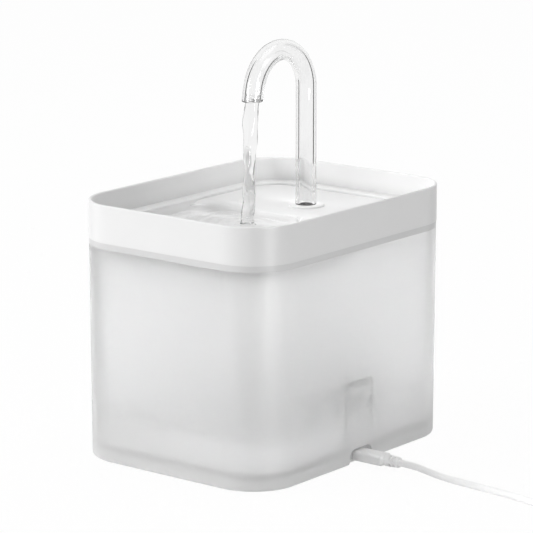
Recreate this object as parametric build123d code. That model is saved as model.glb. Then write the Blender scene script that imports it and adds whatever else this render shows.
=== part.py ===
"""Square pet water fountain with a clear swan-neck faucet, in millimetres.

The origin is the centre of the footprint on the floor. +Z is up, -Y is the front with the
drinking bowl, and +X is the side with the power socket.
"""

import os
from math import cos, pi, radians, sin, sqrt, tan

from build123d import *

# Tray: outside, rim and levels
tray_width = 139.0
tray_length = 180.0
tray_corner = 29.0
rim_height = 13.5
rim_wall = 2.0
rim_draft = 2.0
rim_round = 0.9
shell_wall = 2.0
ledge_z = 134.5
seam_drop = 7.9
ledge_inset = 10.5
ledge_round = 1.0
deck_drop = 1.6

# Drinking bowl in the front of the tray
bowl_depth = 16.9
bowl_back_y = 20.0
bowl_back_slope = 52.0
bowl_side_draft = 10.0
bowl_floor_round = 8.0
bowl_floor_corner = 12.0
bowl_shoulder_round = 7.0
overflow_slots = 5
overflow_slot_width = 7.0
overflow_slot_height = 1.7
overflow_slot_pitch = 11.0
overflow_slot_reach = 1.5

# Tank
seam_step = 0.2
tank_wall = 2.2
tank_draft = 0.18
tank_floor = 2.2
tank_floor_round = 4.0
foot_round = 2.0
skirt_gap = 0.5
lip_length = 3.5
lip_wall = 1.6
lip_clearance = 0.4

# Power socket notch, dry pod above it and the drive electronics in the pod
notch_half_width = 10.5
notch_top_z = 9.5
notch_corner = 5.0
pod_depth = 22.0
pod_width = 26.0
pod_top_z = 48.0
pod_wall = 2.0
pod_round = 4.0
pod_root = 1.0
case_width = 18.0
case_depth = 13.0
case_wall = 1.2
case_foot_z = 12.0
case_corner = 1.5
board_thickness = 1.2
board_width = 14.0
board_gap = 0.5
socket_width = 9.0
socket_height = 3.2
socket_round = 1.5
socket_wall = 0.35
socket_back = 0.6
gasket_thickness = 1.6
gasket_margin = 1.0
gasket_side_gap = 0.3
gasket_foot_gap = 0.1

# Parts on the drive board, from its top down
part_inset = 1.2
capacitor_drop = 7.3
capacitor_diameter = 5.2
capacitor_length = 4.4
chip_gap = 4.5
chip_size = 6.4
chip_height = 1.4
regulator_gap = 4.0
regulator_size = 4.0
regulator_height = 1.1
inductor_gap = 5.0
inductor_size = 5.0
inductor_height = 2.6

# Bottom cover, screws and feet
cover_thickness = 1.6
cover_gap = 0.3
cover_bottom_z = 1.3
screw_diameter = 2.4
screw_head_diameter = 5.0
screw_head_height = 1.2
screw_bite = 0.8
screw_end_gap = 0.4
recess_length = 2.6
recess_width = 0.6
recess_depth = 0.4
boss_diameter = 6.4
screw_inset_x = 14.0
screw_inset_y = 34.0
foot_diameter = 13.0
foot_sink = 0.4
foot_edge_round = 0.5
foot_inset = 24.0

# Faucet
stem_y = 38.0
tube_outer = 12.0
tube_bore = 8.0
bend_radius = 24.3
bend_start_z = 202.0
bend_angle = 170.0
outlet_drop = 1.9
outlet_ring_bore = 6.4
outlet_ring_length = 4.0
running_fit = 0.04

# Collar that carries the faucet in the deck
flange_overhang = 2.3
collar_flange_height = 1.1
flange_round = 0.5
collar_wall = 1.2
collar_barrel_length = 10.0
collar_hole_gap = 0.4
sleeve_wall = 1.0
sleeve_length = 7.9
spigot_outer = 9.0
spigot_bore = 6.0
spigot_length = 11.0
o_ring_section = 1.3
o_ring_drop = 4.5
deck_boss_wall = 2.2
deck_boss_depth = 5.0

# Filter box under the stem
box_width = 54.0
box_front_reach = 26.0
box_back_reach = 27.0
box_wall = 1.6
box_corner = 6.0
lid_clearance = 1.4
box_slots = 9
box_slot_width = 2.0
box_slot_pitch = 4.6
box_slot_height = 20.0
box_slot_foot = 2.0
box_least_corner = 1.0
pad_diameter = 9.0
pad_height = 1.2
pad_inset = 8.0
lid_thickness = 2.0
lid_skirt = 1.8
lid_skirt_wall = 1.2
lid_gap = 0.3
lid_round = 0.8
lid_hole_gap = 0.5
lid_tab_width = 14.0
lid_tab_length = 4.0
lid_tab_step = 0.6
lid_tab_root = 1.0
foam_thickness = 5.5
carbon_thickness = 8.4
media_gap = 0.4
media_corner = 1.5

# Pump
pump_left_x = -22.0
pump_side_wall = 1.4
pump_shell = 1.0
pump_wall = 1.2
pump_corner = 2.0
pump_back_reach = 22.0
chamber_diameter = 22.0
chamber_depth = 8.0
well_diameter = 13.0
well_reach = 19.0
well_wall = 1.0
volute_cover_diameter = 27.0
volute_cover_thickness = 2.5
intake_windows = 3
window_inner_radius = 4.5
window_outer_radius = 9.5
window_angle = 52.0
hub_diameter = 6.0
hub_lip = 0.7
hub_length = 2.3
spout_length = 14.0
adjuster_thickness = 1.2
adjuster_outer_radius = 10.6
adjuster_lever_radius = 13.4
adjuster_lever_width = 3.0
adjuster_gap = 0.1

# Rotor
shaft_diameter = 2.0
bush_length = 2.3
bush_diameter = 4.4
rear_bush_diameter = 6.0
bush_holder_wall = 1.0
shaft_end_room = 0.8
blade_count = 6
blade_radius = 9.2
blade_thickness = 1.2
blade_height = 4.6
blade_disc = 1.2
blade_tip_step = 0.3
rotor_end_gap = 0.6
magnet_diameter = 12.4
magnet_length = 11.0
sleeve_diameter = 4.6

# Stator and the two halves of the wireless drive
pole_thickness = 3.0
pole_gap = 0.1
yoke_width = 3.5
core_length = 8.0
winding_thickness = 3.4
winding_margin = 0.6
winding_corner = 1.5
winding_inner_cut = 0.6
winding_end_cut = 1.0
winding_height_cut = 1.0
pole_lip = 1.0
pole_reach = 0.8
core_gap = 0.2
driver_board_thickness = 1.0
driver_board_gap = 0.5
drive_coil_diameter = 38.0
drive_coil_bore = 14.0
drive_coil_height = 2.0
ferrite_diameter = 40.0
ferrite_height = 0.8
ferrite_gap = 0.3
pickup_coil_diameter = 32.0
pickup_coil_bore = 14.0
pickup_coil_height = 3.0
lead_width = 5.0
lead_thickness = 0.5

# Hose between pump and collar
hose_wall = 1.8
hose_rise = 5.0
hose_overlap = 8.5

# Power plug
plug_width = 10.6
plug_height = 6.0
plug_z = 5.0
plug_length = 20.2
plug_face_gap = 0.4
plug_round = 1.9
plug_nose_chamfer = 1.4
tongue_gap = 0.05
tongue_length = 5.6
tongue_edge_flat = 0.05
neck_diameter = 6.9
relief_length = 8.6
relief_end_diameter = 6.0
relief_slots = 2
relief_slot_width = 1.0
relief_slot_depth = 0.9
relief_bridge = 1.4
relief_slot_pitch = 2.4
relief_slot_start = 3.268
relief_end_round = 0.7

# Cord, coil and the plug at its far end
cord_diameter = 3.8
coil_centre_x = 226.0
coil_centre_y = 5.0
coil_mean_radius = 20.4
coil_layers = 4
coil_turns = 10.25
tail_last_run = 13.0
tie_width = 9.0
tie_thickness = 1.0
far_plug_width = 15.6
far_plug_height = 8.0
far_plug_length = 20.0
far_plug_round = 2.2
far_shell_width = 12.0
far_shell_height = 4.5
far_shell_length = 18.5
far_shell_wall = 0.4
far_shell_round = 0.6
far_shell_back = 1.0
far_relief_wall = 0.5
far_relief_length = 10.0
far_relief_diameter = 6.4
far_plug_chamfer = 1.2
far_plug_heading = 150.0

# Overshoot of cutting blocks and slack in comparing places
cut_overshoot = 1.0
slack = 0.05
fit_slack = 0.01

# Places that follow from the sizes above
tray_top_z = ledge_z + rim_height
seam_z = ledge_z - seam_drop
deck_z = ledge_z - deck_drop
deck_under_z = deck_z - shell_wall
tank_width = tray_width - 2 * seam_step
tank_length = tray_length - 2 * seam_step
tank_corner = tray_corner - seam_step
cover_top_z = cover_bottom_z + cover_thickness
tank_floor_z = cover_top_z + ferrite_gap + ferrite_height + drive_coil_height
floor_top_z = tank_floor_z + tank_floor
wall_inner_x = tank_width / 2 - tank_wall
coil_half_band = cord_diameter * coil_turns / coil_layers / 2
coil_outer_radius = coil_mean_radius + coil_half_band + cord_diameter / 2
coil_inner_radius = coil_mean_radius - coil_half_band - cord_diameter / 2
coil_height = coil_layers * cord_diameter
coil_line_radius = coil_mean_radius + coil_half_band
box_floor_z = floor_top_z + pad_height
pump_floor_z = box_floor_z + box_wall + pickup_coil_height
pump_top_z = pump_floor_z + chamber_diameter + 2 * pump_shell
pump_right_x = chamber_diameter / 2 + pump_side_wall
pump_axis_z = (pump_floor_z + pump_top_z) / 2
pump_back_y = stem_y + pump_back_reach
well_end_y = stem_y + well_reach
spout_top_z = pump_top_z + spout_length
hose_foot_z = pump_top_z + hose_rise
box_rim_z = pump_top_z + lid_clearance
box_front_y = stem_y - box_front_reach
box_back_y = stem_y + box_back_reach
chamber_front_y = stem_y - chamber_depth / 2
chamber_back_y = stem_y + chamber_depth / 2
cover_front_y = chamber_front_y - volute_cover_thickness
dry_start_y = chamber_back_y + 2 * well_wall
core_start_y = dry_start_y + winding_thickness + core_gap
socket_z = plug_z
foot_wall_x = tank_width / 2 - seam_z * tan(radians(tank_draft)) - tank_wall
outlet_z = bend_start_z - outlet_drop
collar_barrel = tube_outer + 2 * (sleeve_wall + collar_wall)
collar_flange = collar_barrel + 2 * flange_overhang
o_ring_z = deck_z - o_ring_drop
board_foot_z = cover_top_z + board_gap
board_top_z = pod_top_z - pod_wall - case_wall
tongue_width = socket_width - 2 * (socket_wall + tongue_gap)
tongue_height = socket_height - 2 * (socket_wall + tongue_gap)


def rounded_block(width, length, low_z, high_z, corner, centre_y=0.0):
    """Upright block with rounded corners, centred on x = 0."""
    outline = Pos(0, centre_y, low_z) * RectangleRounded(width, length, corner)
    return extrude(outline, high_z - low_z)


def upright_rod(diameter, low_z, high_z, x=0.0, y=0.0):
    """Upright cylinder between two heights."""
    return Pos(x, y, (low_z + high_z) / 2) * Cylinder(diameter / 2, high_z - low_z)


def rod_along_y(diameter, low_y, high_y, x=0.0, z=0.0):
    """Cylinder that lies along Y."""
    return Pos(x, (low_y + high_y) / 2, z) * Rot(90, 0, 0) * Cylinder(diameter / 2, high_y - low_y)


def span_box(low, high):
    """Box between two opposite corners."""
    size = [high[i] - low[i] for i in range(3)]
    middle = [(high[i] + low[i]) / 2 for i in range(3)]
    return Pos(*middle) * Box(*size)


# ---------------------------------------------------------------- tank and its underside


def tank_outline(z, inset):
    """Outline of the drafted tank wall at a height, moved in by an inset."""
    shrink = (seam_z - z) * tan(radians(tank_draft)) + inset
    corner = tank_corner - shrink
    outline = RectangleRounded(tank_width - 2 * shrink, tank_length - 2 * shrink, corner)
    return Pos(0, 0, z) * outline


def drafted_block(low_z, high_z, inset):
    """Block that follows the tank's drafted wall between two heights."""
    return loft([tank_outline(low_z, inset), tank_outline(high_z, inset)], ruled=True)


def edges_at(solid, z):
    """Edges that lie flat at one height."""
    flat = []
    for edge in solid.edges():
        box = edge.bounding_box()
        if abs(box.min.Z - z) < fit_slack and abs(box.max.Z - z) < fit_slack:
            flat.append(edge)
    return flat


def screw_places():
    """Six screw positions in the bottom cover, from the tank's foot."""
    half_x = foot_wall_x - screw_inset_x
    half_y = tank_length / 2 - screw_inset_y
    places = []
    for side in (-1, 1):
        for row in (-1, 0, 1):
            shift = 0.0 if row or side < 0 else pod_width / 2 + boss_diameter
            places.append((side * half_x, row * half_y - shift))
    return places


def foot_places():
    """Four foot positions, from the corners of the tank."""
    half_x = tank_width / 2 - foot_inset
    half_y = tank_length / 2 - foot_inset
    return [(x, y) for x in (-half_x, half_x) for y in (-half_y, half_y)]


def pod_block(margin, top_z, low_z):
    """Body of the dry pod, from the tank wall inwards, moved out by a margin."""
    inner_x = wall_inner_x - pod_depth - margin
    outer_x = wall_inner_x + tank_wall / 2
    width = pod_width + 2 * margin
    block = span_box((inner_x, -width / 2, low_z), (outer_x, width / 2, top_z))
    upright = [e for e in block.edges().filter_by(Axis.Z) if e.center().X < inner_x + pod_root]
    return fillet(upright, pod_round + margin)


def make_water_tank():
    """Frosted tank with its floor, dry pod, screw bosses and socket notch."""
    outside = drafted_block(skirt_gap, seam_z, 0)
    outside = fillet(edges_at(outside, skirt_gap), foot_round)
    water_space = drafted_block(floor_top_z, seam_z, tank_wall)
    water_space = fillet(edges_at(water_space, floor_top_z), tank_floor_round)
    dry_space = drafted_block(skirt_gap, tank_floor_z, tank_wall)
    tank = outside - water_space - dry_space
    shell = drafted_block(floor_top_z - pod_root, seam_z - pod_root, tank_wall / 2)
    pod = pod_block(0, pod_top_z, tank_floor_z) & shell
    pod = fillet(edges_at(pod, pod_top_z), pod_round / 2) + (pod & shell)
    tank = tank + pod
    hollow = pod_block(-pod_wall, pod_top_z - pod_wall, skirt_gap)
    hollow = hollow & drafted_block(skirt_gap, pod_top_z, tank_wall)
    tank = tank - hollow
    for x, y in screw_places():
        tank = tank + upright_rod(boss_diameter, cover_top_z, tank_floor_z, x, y)
        tank = tank - upright_rod(screw_diameter, cover_top_z, tank_floor_z + screw_bite + screw_end_gap,
                                   x, y)
    return tank - notch_cut()


def notch_cut():
    """Cut through the wall foot for the power plug, open at the bottom."""
    low_z = -notch_corner * 2
    height = notch_top_z - low_z
    outline = RectangleRounded(2 * notch_half_width, height, notch_corner)
    plane = Plane(origin=(wall_inner_x - tank_wall, 0, low_z + height / 2), x_dir=(0, 1, 0),
                  z_dir=(1, 0, 0))
    return extrude(plane * outline, 3 * tank_wall)


def make_bottom_cover():
    """Flat cover under the dry space, with screw holes and foot recesses."""
    cover = drafted_block(cover_bottom_z, cover_top_z, tank_wall + cover_gap)
    for x, y in screw_places():
        cover = cover - upright_rod(screw_diameter, cover_bottom_z, cover_top_z, x, y)
        cover = cover - upright_rod(screw_head_diameter, cover_bottom_z,
                                    cover_bottom_z + screw_head_height / 2, x, y)
    for x, y in foot_places():
        cover = cover - upright_rod(foot_diameter, cover_bottom_z, cover_bottom_z + foot_sink, x, y)
    return cover


def make_cover_screws():
    """Pan head screws, each with a cross recess."""
    screws = []
    for x, y in screw_places():
        head_z = cover_bottom_z + screw_head_height / 2
        head = upright_rod(screw_head_diameter, head_z - screw_head_height, head_z, x, y)
        head = fillet(edges_at(head, head_z - screw_head_height), screw_head_height / 2)
        shank = upright_rod(screw_diameter, head_z, tank_floor_z + screw_bite, x, y)
        cross = Box(recess_length, recess_width, 2 * recess_depth)
        cross = cross + Box(recess_width, recess_length, 2 * recess_depth)
        screws.append(head + shank - Pos(x, y, head_z - screw_head_height) * cross)
    return Compound(children=screws)


def make_rubber_feet():
    """Round rubber feet, sunk into the cover."""
    feet = []
    for x, y in foot_places():
        foot = upright_rod(foot_diameter, 0, cover_bottom_z + foot_sink, x, y)
        feet.append(fillet(edges_at(foot, 0), foot_edge_round))
    return Compound(children=feet)


# ---------------------------------------------------------------- drive electronics


def board_face_x():
    """Face of the drive board that carries the socket."""
    return wall_inner_x - pod_depth + pod_wall + case_wall + case_depth / 2


def socket_mouth_x():
    """Plane of the socket's mouth, flush with the gasket's outer face."""
    return foot_wall_x - lip_clearance / 2


def make_drive_case():
    """Dark cap over the drive board, open downwards, seated under the pod's top."""
    low_x = board_face_x() - case_depth / 2
    high_x = low_x + case_depth
    outer = span_box((low_x, -case_width / 2, case_foot_z),
                     (high_x, case_width / 2, pod_top_z - pod_wall))
    inner = span_box((low_x + case_wall, -case_width / 2 + case_wall, case_foot_z),
                     (high_x - case_wall, case_width / 2 - case_wall,
                      pod_top_z - pod_wall - case_wall))
    outer = fillet(outer.edges().filter_by(Axis.Z), case_corner)
    return outer - inner


def make_drive_board():
    """Upright drive board."""
    face = board_face_x()
    return span_box((face - board_thickness, -board_width / 2, board_foot_z),
                    (face, board_width / 2, board_top_z))


def make_board_parts():
    """Chips, a capacitor and an inductor on the drive board."""
    face = board_face_x()
    side_y = board_width / 2 - part_inset
    capacitor_z = board_top_z - capacitor_drop
    chip_top_z = capacitor_z - capacitor_diameter / 2 - chip_gap
    chip_low_z = chip_top_z - chip_size
    regulator_z = chip_low_z - regulator_gap
    inductor_z = chip_low_z - inductor_gap
    capacitor = Pos(face + capacitor_length / 2, 0, capacitor_z) * Rot(0, 90, 0) * Cylinder(
        capacitor_diameter / 2, capacitor_length)
    driver = span_box((face, -chip_size / 2, chip_low_z),
                      (face + chip_height, chip_size / 2, chip_top_z))
    regulator = span_box((face, -side_y, regulator_z - regulator_size),
                         (face + regulator_height, regulator_size - side_y, regulator_z))
    inductor = span_box((face, side_y - inductor_size, inductor_z - inductor_size),
                        (face + inductor_height, side_y, inductor_z))
    return Compound(children=[driver, regulator, inductor, capacitor])


def socket_outline(margin):
    """Rounded outline of the power socket across X."""
    return RectangleRounded(socket_width + 2 * margin, socket_height + 2 * margin,
                            socket_round + margin)


def across_x(x, z=socket_z):
    """Plane across X whose sketch axes are Y and Z."""
    return Plane(origin=(x, 0, z), x_dir=(0, 1, 0), z_dir=(1, 0, 0))


def make_power_socket():
    """Metal shell of the power socket, closed at the board."""
    back_x = board_face_x()
    length = socket_mouth_x() - back_x
    shell = extrude(across_x(back_x) * socket_outline(0), length)
    depth = tongue_length + socket_back
    mouth = extrude(across_x(back_x + length - depth) * socket_outline(-socket_wall), depth)
    return shell - mouth


def make_socket_gasket():
    """Silicone plate that closes the notch around the socket."""
    face_x = socket_mouth_x()
    width = pod_width - 2 * (pod_wall + gasket_side_gap)
    low_z = cover_top_z + gasket_foot_gap
    plate = span_box((face_x - gasket_thickness, -width / 2, low_z),
                     (face_x, width / 2, notch_top_z + gasket_margin))
    opening = extrude(across_x(face_x - gasket_thickness) * socket_outline(0), gasket_thickness)
    return plate - opening


def make_drive_coil():
    """Flat winding under the tank floor that drives the pump through it."""
    disc = upright_rod(drive_coil_diameter, tank_floor_z - drive_coil_height, tank_floor_z, 0, stem_y)
    return disc - upright_rod(drive_coil_bore, tank_floor_z - drive_coil_height, tank_floor_z, 0, stem_y)


def make_drive_ferrite():
    """Thin ferrite disc behind the drive coil."""
    top_z = tank_floor_z - drive_coil_height
    return upright_rod(ferrite_diameter, top_z - ferrite_height, top_z, 0, stem_y)


def make_coil_lead():
    """Flat lead from the drive board to the drive coil, against the underside of the floor."""
    start_x = board_face_x() - board_thickness
    corner_x = start_x - pod_depth / 2
    reach = sqrt(corner_x**2 + stem_y**2)
    heading = Vector(-corner_x, stem_y, 0) / reach
    end = Vector(corner_x, 0, 0) + heading * (reach - drive_coil_diameter / 2)
    path = FilletPolyline((start_x, 0, 0), (corner_x, 0, 0), (end.X, end.Y, 0), radius=lead_width)
    strip = make_face(offset(path, amount=lead_width / 2, side=Side.BOTH).edges())
    lead = extrude(Pos(0, 0, tank_floor_z - lead_thickness) * strip, lead_thickness)
    lead = lead - span_box((start_x, -lead_width, 0), (start_x + lead_width, lead_width, tank_floor_z))
    return lead - upright_rod(drive_coil_diameter, 0, tank_floor_z, 0, stem_y)


# ---------------------------------------------------------------- tray


def bowl_void(margin):
    """Space of the bowl below the deck, moved out by a margin on every side."""
    drop = bowl_depth + margin
    side = tray_width / 2 - ledge_inset + margin
    front = -(tray_length / 2 - ledge_inset) - margin
    back = bowl_back_y + margin / sin(radians(bowl_back_slope))
    inward = drop * tan(radians(bowl_side_draft))
    forward = drop / tan(radians(bowl_back_slope))
    top_corner = tray_corner - ledge_inset + margin
    low_corner = bowl_floor_corner + margin
    top = Pos(0, (front + back) / 2, deck_z) * RectangleRounded(2 * side, back - front, top_corner)
    low_front = front + inward
    low_back = back - forward
    low = Pos(0, (low_front + low_back) / 2, deck_z - drop) * RectangleRounded(
        2 * (side - inward), low_back - low_front, low_corner)
    void = loft([low, top], ruled=True)
    return fillet(edges_at(void, deck_z - drop), bowl_floor_round + margin)


def make_bowl_tray():
    """White tray: rim, ledge, deck and drinking bowl in one shell, with a lip into the tank."""
    outside = rounded_block(tray_width, tray_length, seam_z, tray_top_z, tray_corner)
    outside = fillet(edges_at(outside, tray_top_z), rim_round)
    lip_out = tank_wall + lip_clearance + seam_step
    lip = rounded_block(tray_width - 2 * lip_out, tray_length - 2 * lip_out, seam_z - lip_length,
                        ledge_z - shell_wall, tray_corner - lip_out)
    tray = outside + lip + bowl_void(shell_wall)
    tray = tray - rim_well() - ledge_well() - bowl_void(0)
    tray = tray - underside(lip_out + lip_wall)
    tray = soften_tray(tray)
    hole = upright_rod(collar_barrel + 2 * collar_hole_gap, deck_under_z - deck_boss_depth,
                       deck_z, 0, stem_y)
    boss = upright_rod(collar_barrel + 2 * (collar_hole_gap + deck_boss_wall),
                       deck_under_z - deck_boss_depth, deck_under_z, 0, stem_y)
    return tray + boss - hole - overflow_cuts()


def rim_well():
    """Space inside the rim, down to the ledge, a little wider at the top."""
    rise = tray_top_z - ledge_z
    spread = rise * tan(radians(rim_draft))
    low = Pos(0, 0, ledge_z) * RectangleRounded(
        tray_width - 2 * (rim_wall + spread), tray_length - 2 * (rim_wall + spread),
        tray_corner - rim_wall - spread)
    high = Pos(0, 0, tray_top_z) * RectangleRounded(
        tray_width - 2 * rim_wall, tray_length - 2 * rim_wall, tray_corner - rim_wall)
    return loft([low, high], ruled=True)


def ledge_well():
    """Shallow step from the ledge down to the deck."""
    return rounded_block(tray_width - 2 * ledge_inset, tray_length - 2 * ledge_inset, deck_z,
                         ledge_z, tray_corner - ledge_inset)


def underside(lip_inset):
    """Space under the deck and the ledge, inside the lip and around the bowl."""
    low_z = seam_z - lip_length
    wide = rounded_block(tray_width - 2 * lip_inset, tray_length - 2 * lip_inset, low_z,
                         ledge_z - shell_wall, tray_corner - lip_inset)
    step = ledge_inset - shell_wall
    core = rounded_block(tray_width - 2 * step, tray_length - 2 * step, deck_under_z,
                         ledge_z, tray_corner - step)
    return wide - core - bowl_void(shell_wall)


def soften_tray(tray):
    """Rounds the rim's inner edge, the ledge's edge and the shoulder of the bowl."""
    half_x = tray_width / 2 - ledge_inset
    inner_rim = [e for e in edges_at(tray, tray_top_z)
                 if within(e, tray_width / 2 - rim_wall, tray_length / 2 - rim_wall)]
    tray = fillet(inner_rim, rim_round)
    ledge = [e for e in edges_at(tray, ledge_z) if within(e, half_x, tray_length / 2 - ledge_inset)]
    tray = fillet(ledge, ledge_round)
    shoulder = [e for e in edges_at(tray, deck_z)
                if abs(e.center().Y - bowl_back_y) < slack and abs(e.center().X) < half_x]
    return fillet(shoulder, bowl_shoulder_round)


def within(edge, half_x, half_y):
    """Whether an edge lies inside a centred rectangle, with a little slack."""
    box = edge.bounding_box()
    fits_x = box.max.X < half_x + slack and box.min.X > -half_x - slack
    fits_y = box.max.Y < half_y + slack and box.min.Y > -half_y - slack
    return fits_x and fits_y


def overflow_cuts():
    """Row of slots in the bowl's front wall through which the water runs back to the tank."""
    top_z = ledge_z - shell_wall
    low_z = top_z - overflow_slot_height
    front = -tray_length / 2 + ledge_inset
    first = -(overflow_slots - 1) / 2 * overflow_slot_pitch
    cuts = []
    for index in range(overflow_slots):
        x = first + index * overflow_slot_pitch
        cuts.append(span_box((x - overflow_slot_width / 2, front - shell_wall - cut_overshoot,
                              low_z),
                             (x + overflow_slot_width / 2, front + overflow_slot_reach, top_z)))
    return Compound(children=cuts)


# ---------------------------------------------------------------- collar and faucet


def collar_foot_z():
    """Lower end of the collar's barrel."""
    return deck_z - collar_barrel_length


def tube_foot_z():
    """Seat of the faucet tube in the collar."""
    return deck_z - sleeve_length


def make_faucet_collar():
    """Flanged collar with a bore for the sleeve and a spigot for the hose."""
    foot_z = collar_foot_z()
    flange = upright_rod(collar_flange, deck_z, deck_z + collar_flange_height, 0, stem_y)
    flange = fillet(edges_at(flange, deck_z + collar_flange_height), flange_round)
    barrel = upright_rod(collar_barrel, foot_z, deck_z, 0, stem_y)
    spigot = upright_rod(spigot_outer, foot_z - spigot_length, foot_z, 0, stem_y)
    collar = flange + barrel + spigot
    collar = collar - upright_rod(tube_outer + 2 * running_fit, tube_foot_z(),
                                  deck_z + collar_flange_height, 0, stem_y)
    collar = collar - upright_rod(tube_outer + 2 * sleeve_wall, tube_foot_z(), deck_z, 0, stem_y)
    collar = collar - upright_rod(spigot_bore, foot_z - spigot_length, tube_foot_z(), 0, stem_y)
    return collar - make_o_ring()


def make_o_ring():
    """Seal ring in the collar's groove, just clear of the hole in the deck."""
    ring_radius = collar_barrel / 2 + collar_hole_gap - running_fit - o_ring_section / 2
    return Pos(0, stem_y, o_ring_z) * Torus(ring_radius, o_ring_section / 2)


def make_tube_sleeve():
    """Dark silicone sleeve that grips the faucet tube inside the collar."""
    sleeve = upright_rod(tube_outer + 2 * sleeve_wall, tube_foot_z(), deck_z, 0, stem_y)
    return sleeve - upright_rod(tube_outer + 2 * running_fit, tube_foot_z(), deck_z, 0, stem_y)


def faucet_path():
    """Centre line of the faucet: straight stem, bend and a short straight outlet."""
    angle = radians(bend_angle)
    foot = Vector(0, stem_y, tube_foot_z())
    top = Vector(0, stem_y, bend_start_z)
    centre = Vector(0, stem_y - bend_radius, bend_start_z)
    stem = Line(foot, top)
    end_y = centre.Y + bend_radius * cos(angle)
    end_z = centre.Z + bend_radius * sin(angle)
    middle = Vector(0, centre.Y + bend_radius * cos(angle / 2), centre.Z + bend_radius * sin(angle / 2))
    bend = ThreePointArc(top, middle, Vector(0, end_y, end_z))
    heading = Vector(0, -sin(angle), cos(angle))
    run = (end_z - outlet_z) / -heading.Z + tube_outer / 4
    outlet = Line(Vector(0, end_y, end_z), Vector(0, end_y, end_z) + heading * run)
    return stem + bend + outlet


def tube_along(path, diameter):
    """Round bar along a path that starts straight up."""
    start = path @ 0
    section = Plane(origin=start, z_dir=path % 0) * Circle(diameter / 2)
    return sweep(section, path=path)


def outlet_rod(diameter):
    """Round rod from the insert's upper end out through the outlet."""
    angle = radians(bend_angle)
    heading = Vector(0, -sin(angle), cos(angle))
    centre_y = stem_y - bend_radius + bend_radius * cos(angle)
    centre_z = bend_start_z + bend_radius * sin(angle)
    run = (centre_z - outlet_z) / -heading.Z
    start = Vector(0, centre_y, centre_z) + heading * (run - outlet_ring_length)
    plane = Plane(origin=start, z_dir=heading)
    return extrude(plane * Circle(diameter / 2), outlet_ring_length + tube_outer / 4)


def below_outlet():
    """Block under the level cut of the outlet."""
    return span_box((-tube_outer, -tube_outer * 3, outlet_z - tube_outer),
                    (tube_outer, tube_outer, outlet_z))


def make_faucet_tube():
    """Clear bent tube, its outlet cut level."""
    path = faucet_path()
    return tube_along(path, tube_outer) - tube_along(path, tube_bore) - below_outlet()


def make_outlet_ring():
    """Short insert in the outlet that narrows the stream."""
    insert = outlet_rod(tube_bore - 2 * running_fit)
    return insert - outlet_rod(outlet_ring_bore) - below_outlet()


def make_outlet_hose():
    """Silicone hose between the pump's spout and the collar's spigot."""
    low_z = hose_foot_z
    high_z = collar_foot_z() - spigot_length + hose_overlap
    bore = spigot_outer + 2 * running_fit
    hose = upright_rod(bore + 2 * hose_wall, low_z, high_z, 0, stem_y)
    return hose - upright_rod(bore, low_z, high_z, 0, stem_y)


# ---------------------------------------------------------------- filter box


def box_block(inset, low_z, high_z):
    """Block with the plan of the filter box, moved in by an inset."""
    return rounded_block(box_width - 2 * inset, box_back_y - box_front_y - 2 * inset, low_z, high_z,
                         max(box_corner - inset, box_least_corner), (box_front_y + box_back_y) / 2)


def make_filter_box():
    """Open box around the pump, with intake slots in the front and the sides."""
    low_z = box_floor_z
    box = box_block(0, low_z, box_rim_z) - box_block(box_wall, low_z + box_wall, box_rim_z)
    slot_low = low_z + box_wall + box_slot_foot
    slot_high = slot_low + box_slot_height
    centre_y = (box_front_y + box_back_y) / 2
    for index in range(box_slots):
        shift = (index - (box_slots - 1) / 2) * box_slot_pitch
        low = (shift - box_slot_width / 2, box_front_y - cut_overshoot, slot_low)
        high = (shift + box_slot_width / 2, box_front_y + box_wall + cut_overshoot, slot_high)
        box = box - span_box(low, high)
        side_low = (-box_width / 2 - cut_overshoot, centre_y + shift - box_slot_width / 2, slot_low)
        side_high = (-box_width / 2 + box_wall + cut_overshoot, centre_y + shift + box_slot_width / 2,
                     slot_high)
        box = box - span_box(side_low, side_high)
    return box


def make_box_pads():
    """Soft pads under the filter box."""
    low_x = box_width / 2 - pad_inset
    pads = []
    for x in (-low_x, low_x):
        for y in (box_front_y + pad_inset, box_back_y - pad_inset):
            pads.append(upright_rod(pad_diameter, floor_top_z, floor_top_z + pad_height, x, y))
    return Compound(children=pads)


def make_filter_lid():
    """Lid of the filter box, with a skirt, a hole for the hose and a finger tab."""
    top_z = box_rim_z + lid_thickness
    plate = box_block(0, box_rim_z, top_z)
    plate = fillet(edges_at(plate, top_z), lid_round)
    skirt_in = box_wall + lid_gap
    skirt = box_block(skirt_in, box_rim_z - lid_skirt, box_rim_z)
    skirt = skirt - box_block(skirt_in + lid_skirt_wall, box_rim_z - lid_skirt, box_rim_z)
    tab = span_box((-lid_tab_width / 2, box_front_y - lid_tab_length, box_rim_z),
                   (lid_tab_width / 2, box_front_y + lid_tab_root, top_z - lid_tab_step))
    hose_outer = spigot_outer + 2 * running_fit + 2 * hose_wall
    hole = upright_rod(hose_outer + 2 * lid_hole_gap, box_rim_z, top_z, 0, stem_y)
    return plate + skirt + tab - hole


def media_pad(start_y, thickness):
    """Upright filter pad across the front of the box."""
    half = box_width / 2 - box_wall - media_gap
    low_z = box_floor_z + box_wall
    high_z = box_rim_z - lid_skirt - media_gap
    pad = span_box((-half, start_y, low_z), (half, start_y + thickness, high_z))
    return fillet(pad.edges().filter_by(Axis.Y), media_corner)


def make_foam_sponge():
    """Coarse foam behind the intake slots."""
    return cut_to_box(media_pad(box_front_y + box_wall + media_gap, foam_thickness))


def make_carbon_filter():
    """Carbon and resin pad behind the foam."""
    start_y = box_front_y + box_wall + 2 * media_gap + foam_thickness
    return media_pad(start_y, carbon_thickness)


def cut_to_box(pad):
    """Keeps a pad inside the rounded corners of the filter box."""
    return pad & box_block(box_wall + media_gap, floor_top_z, box_rim_z)


# ---------------------------------------------------------------- pump


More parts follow.
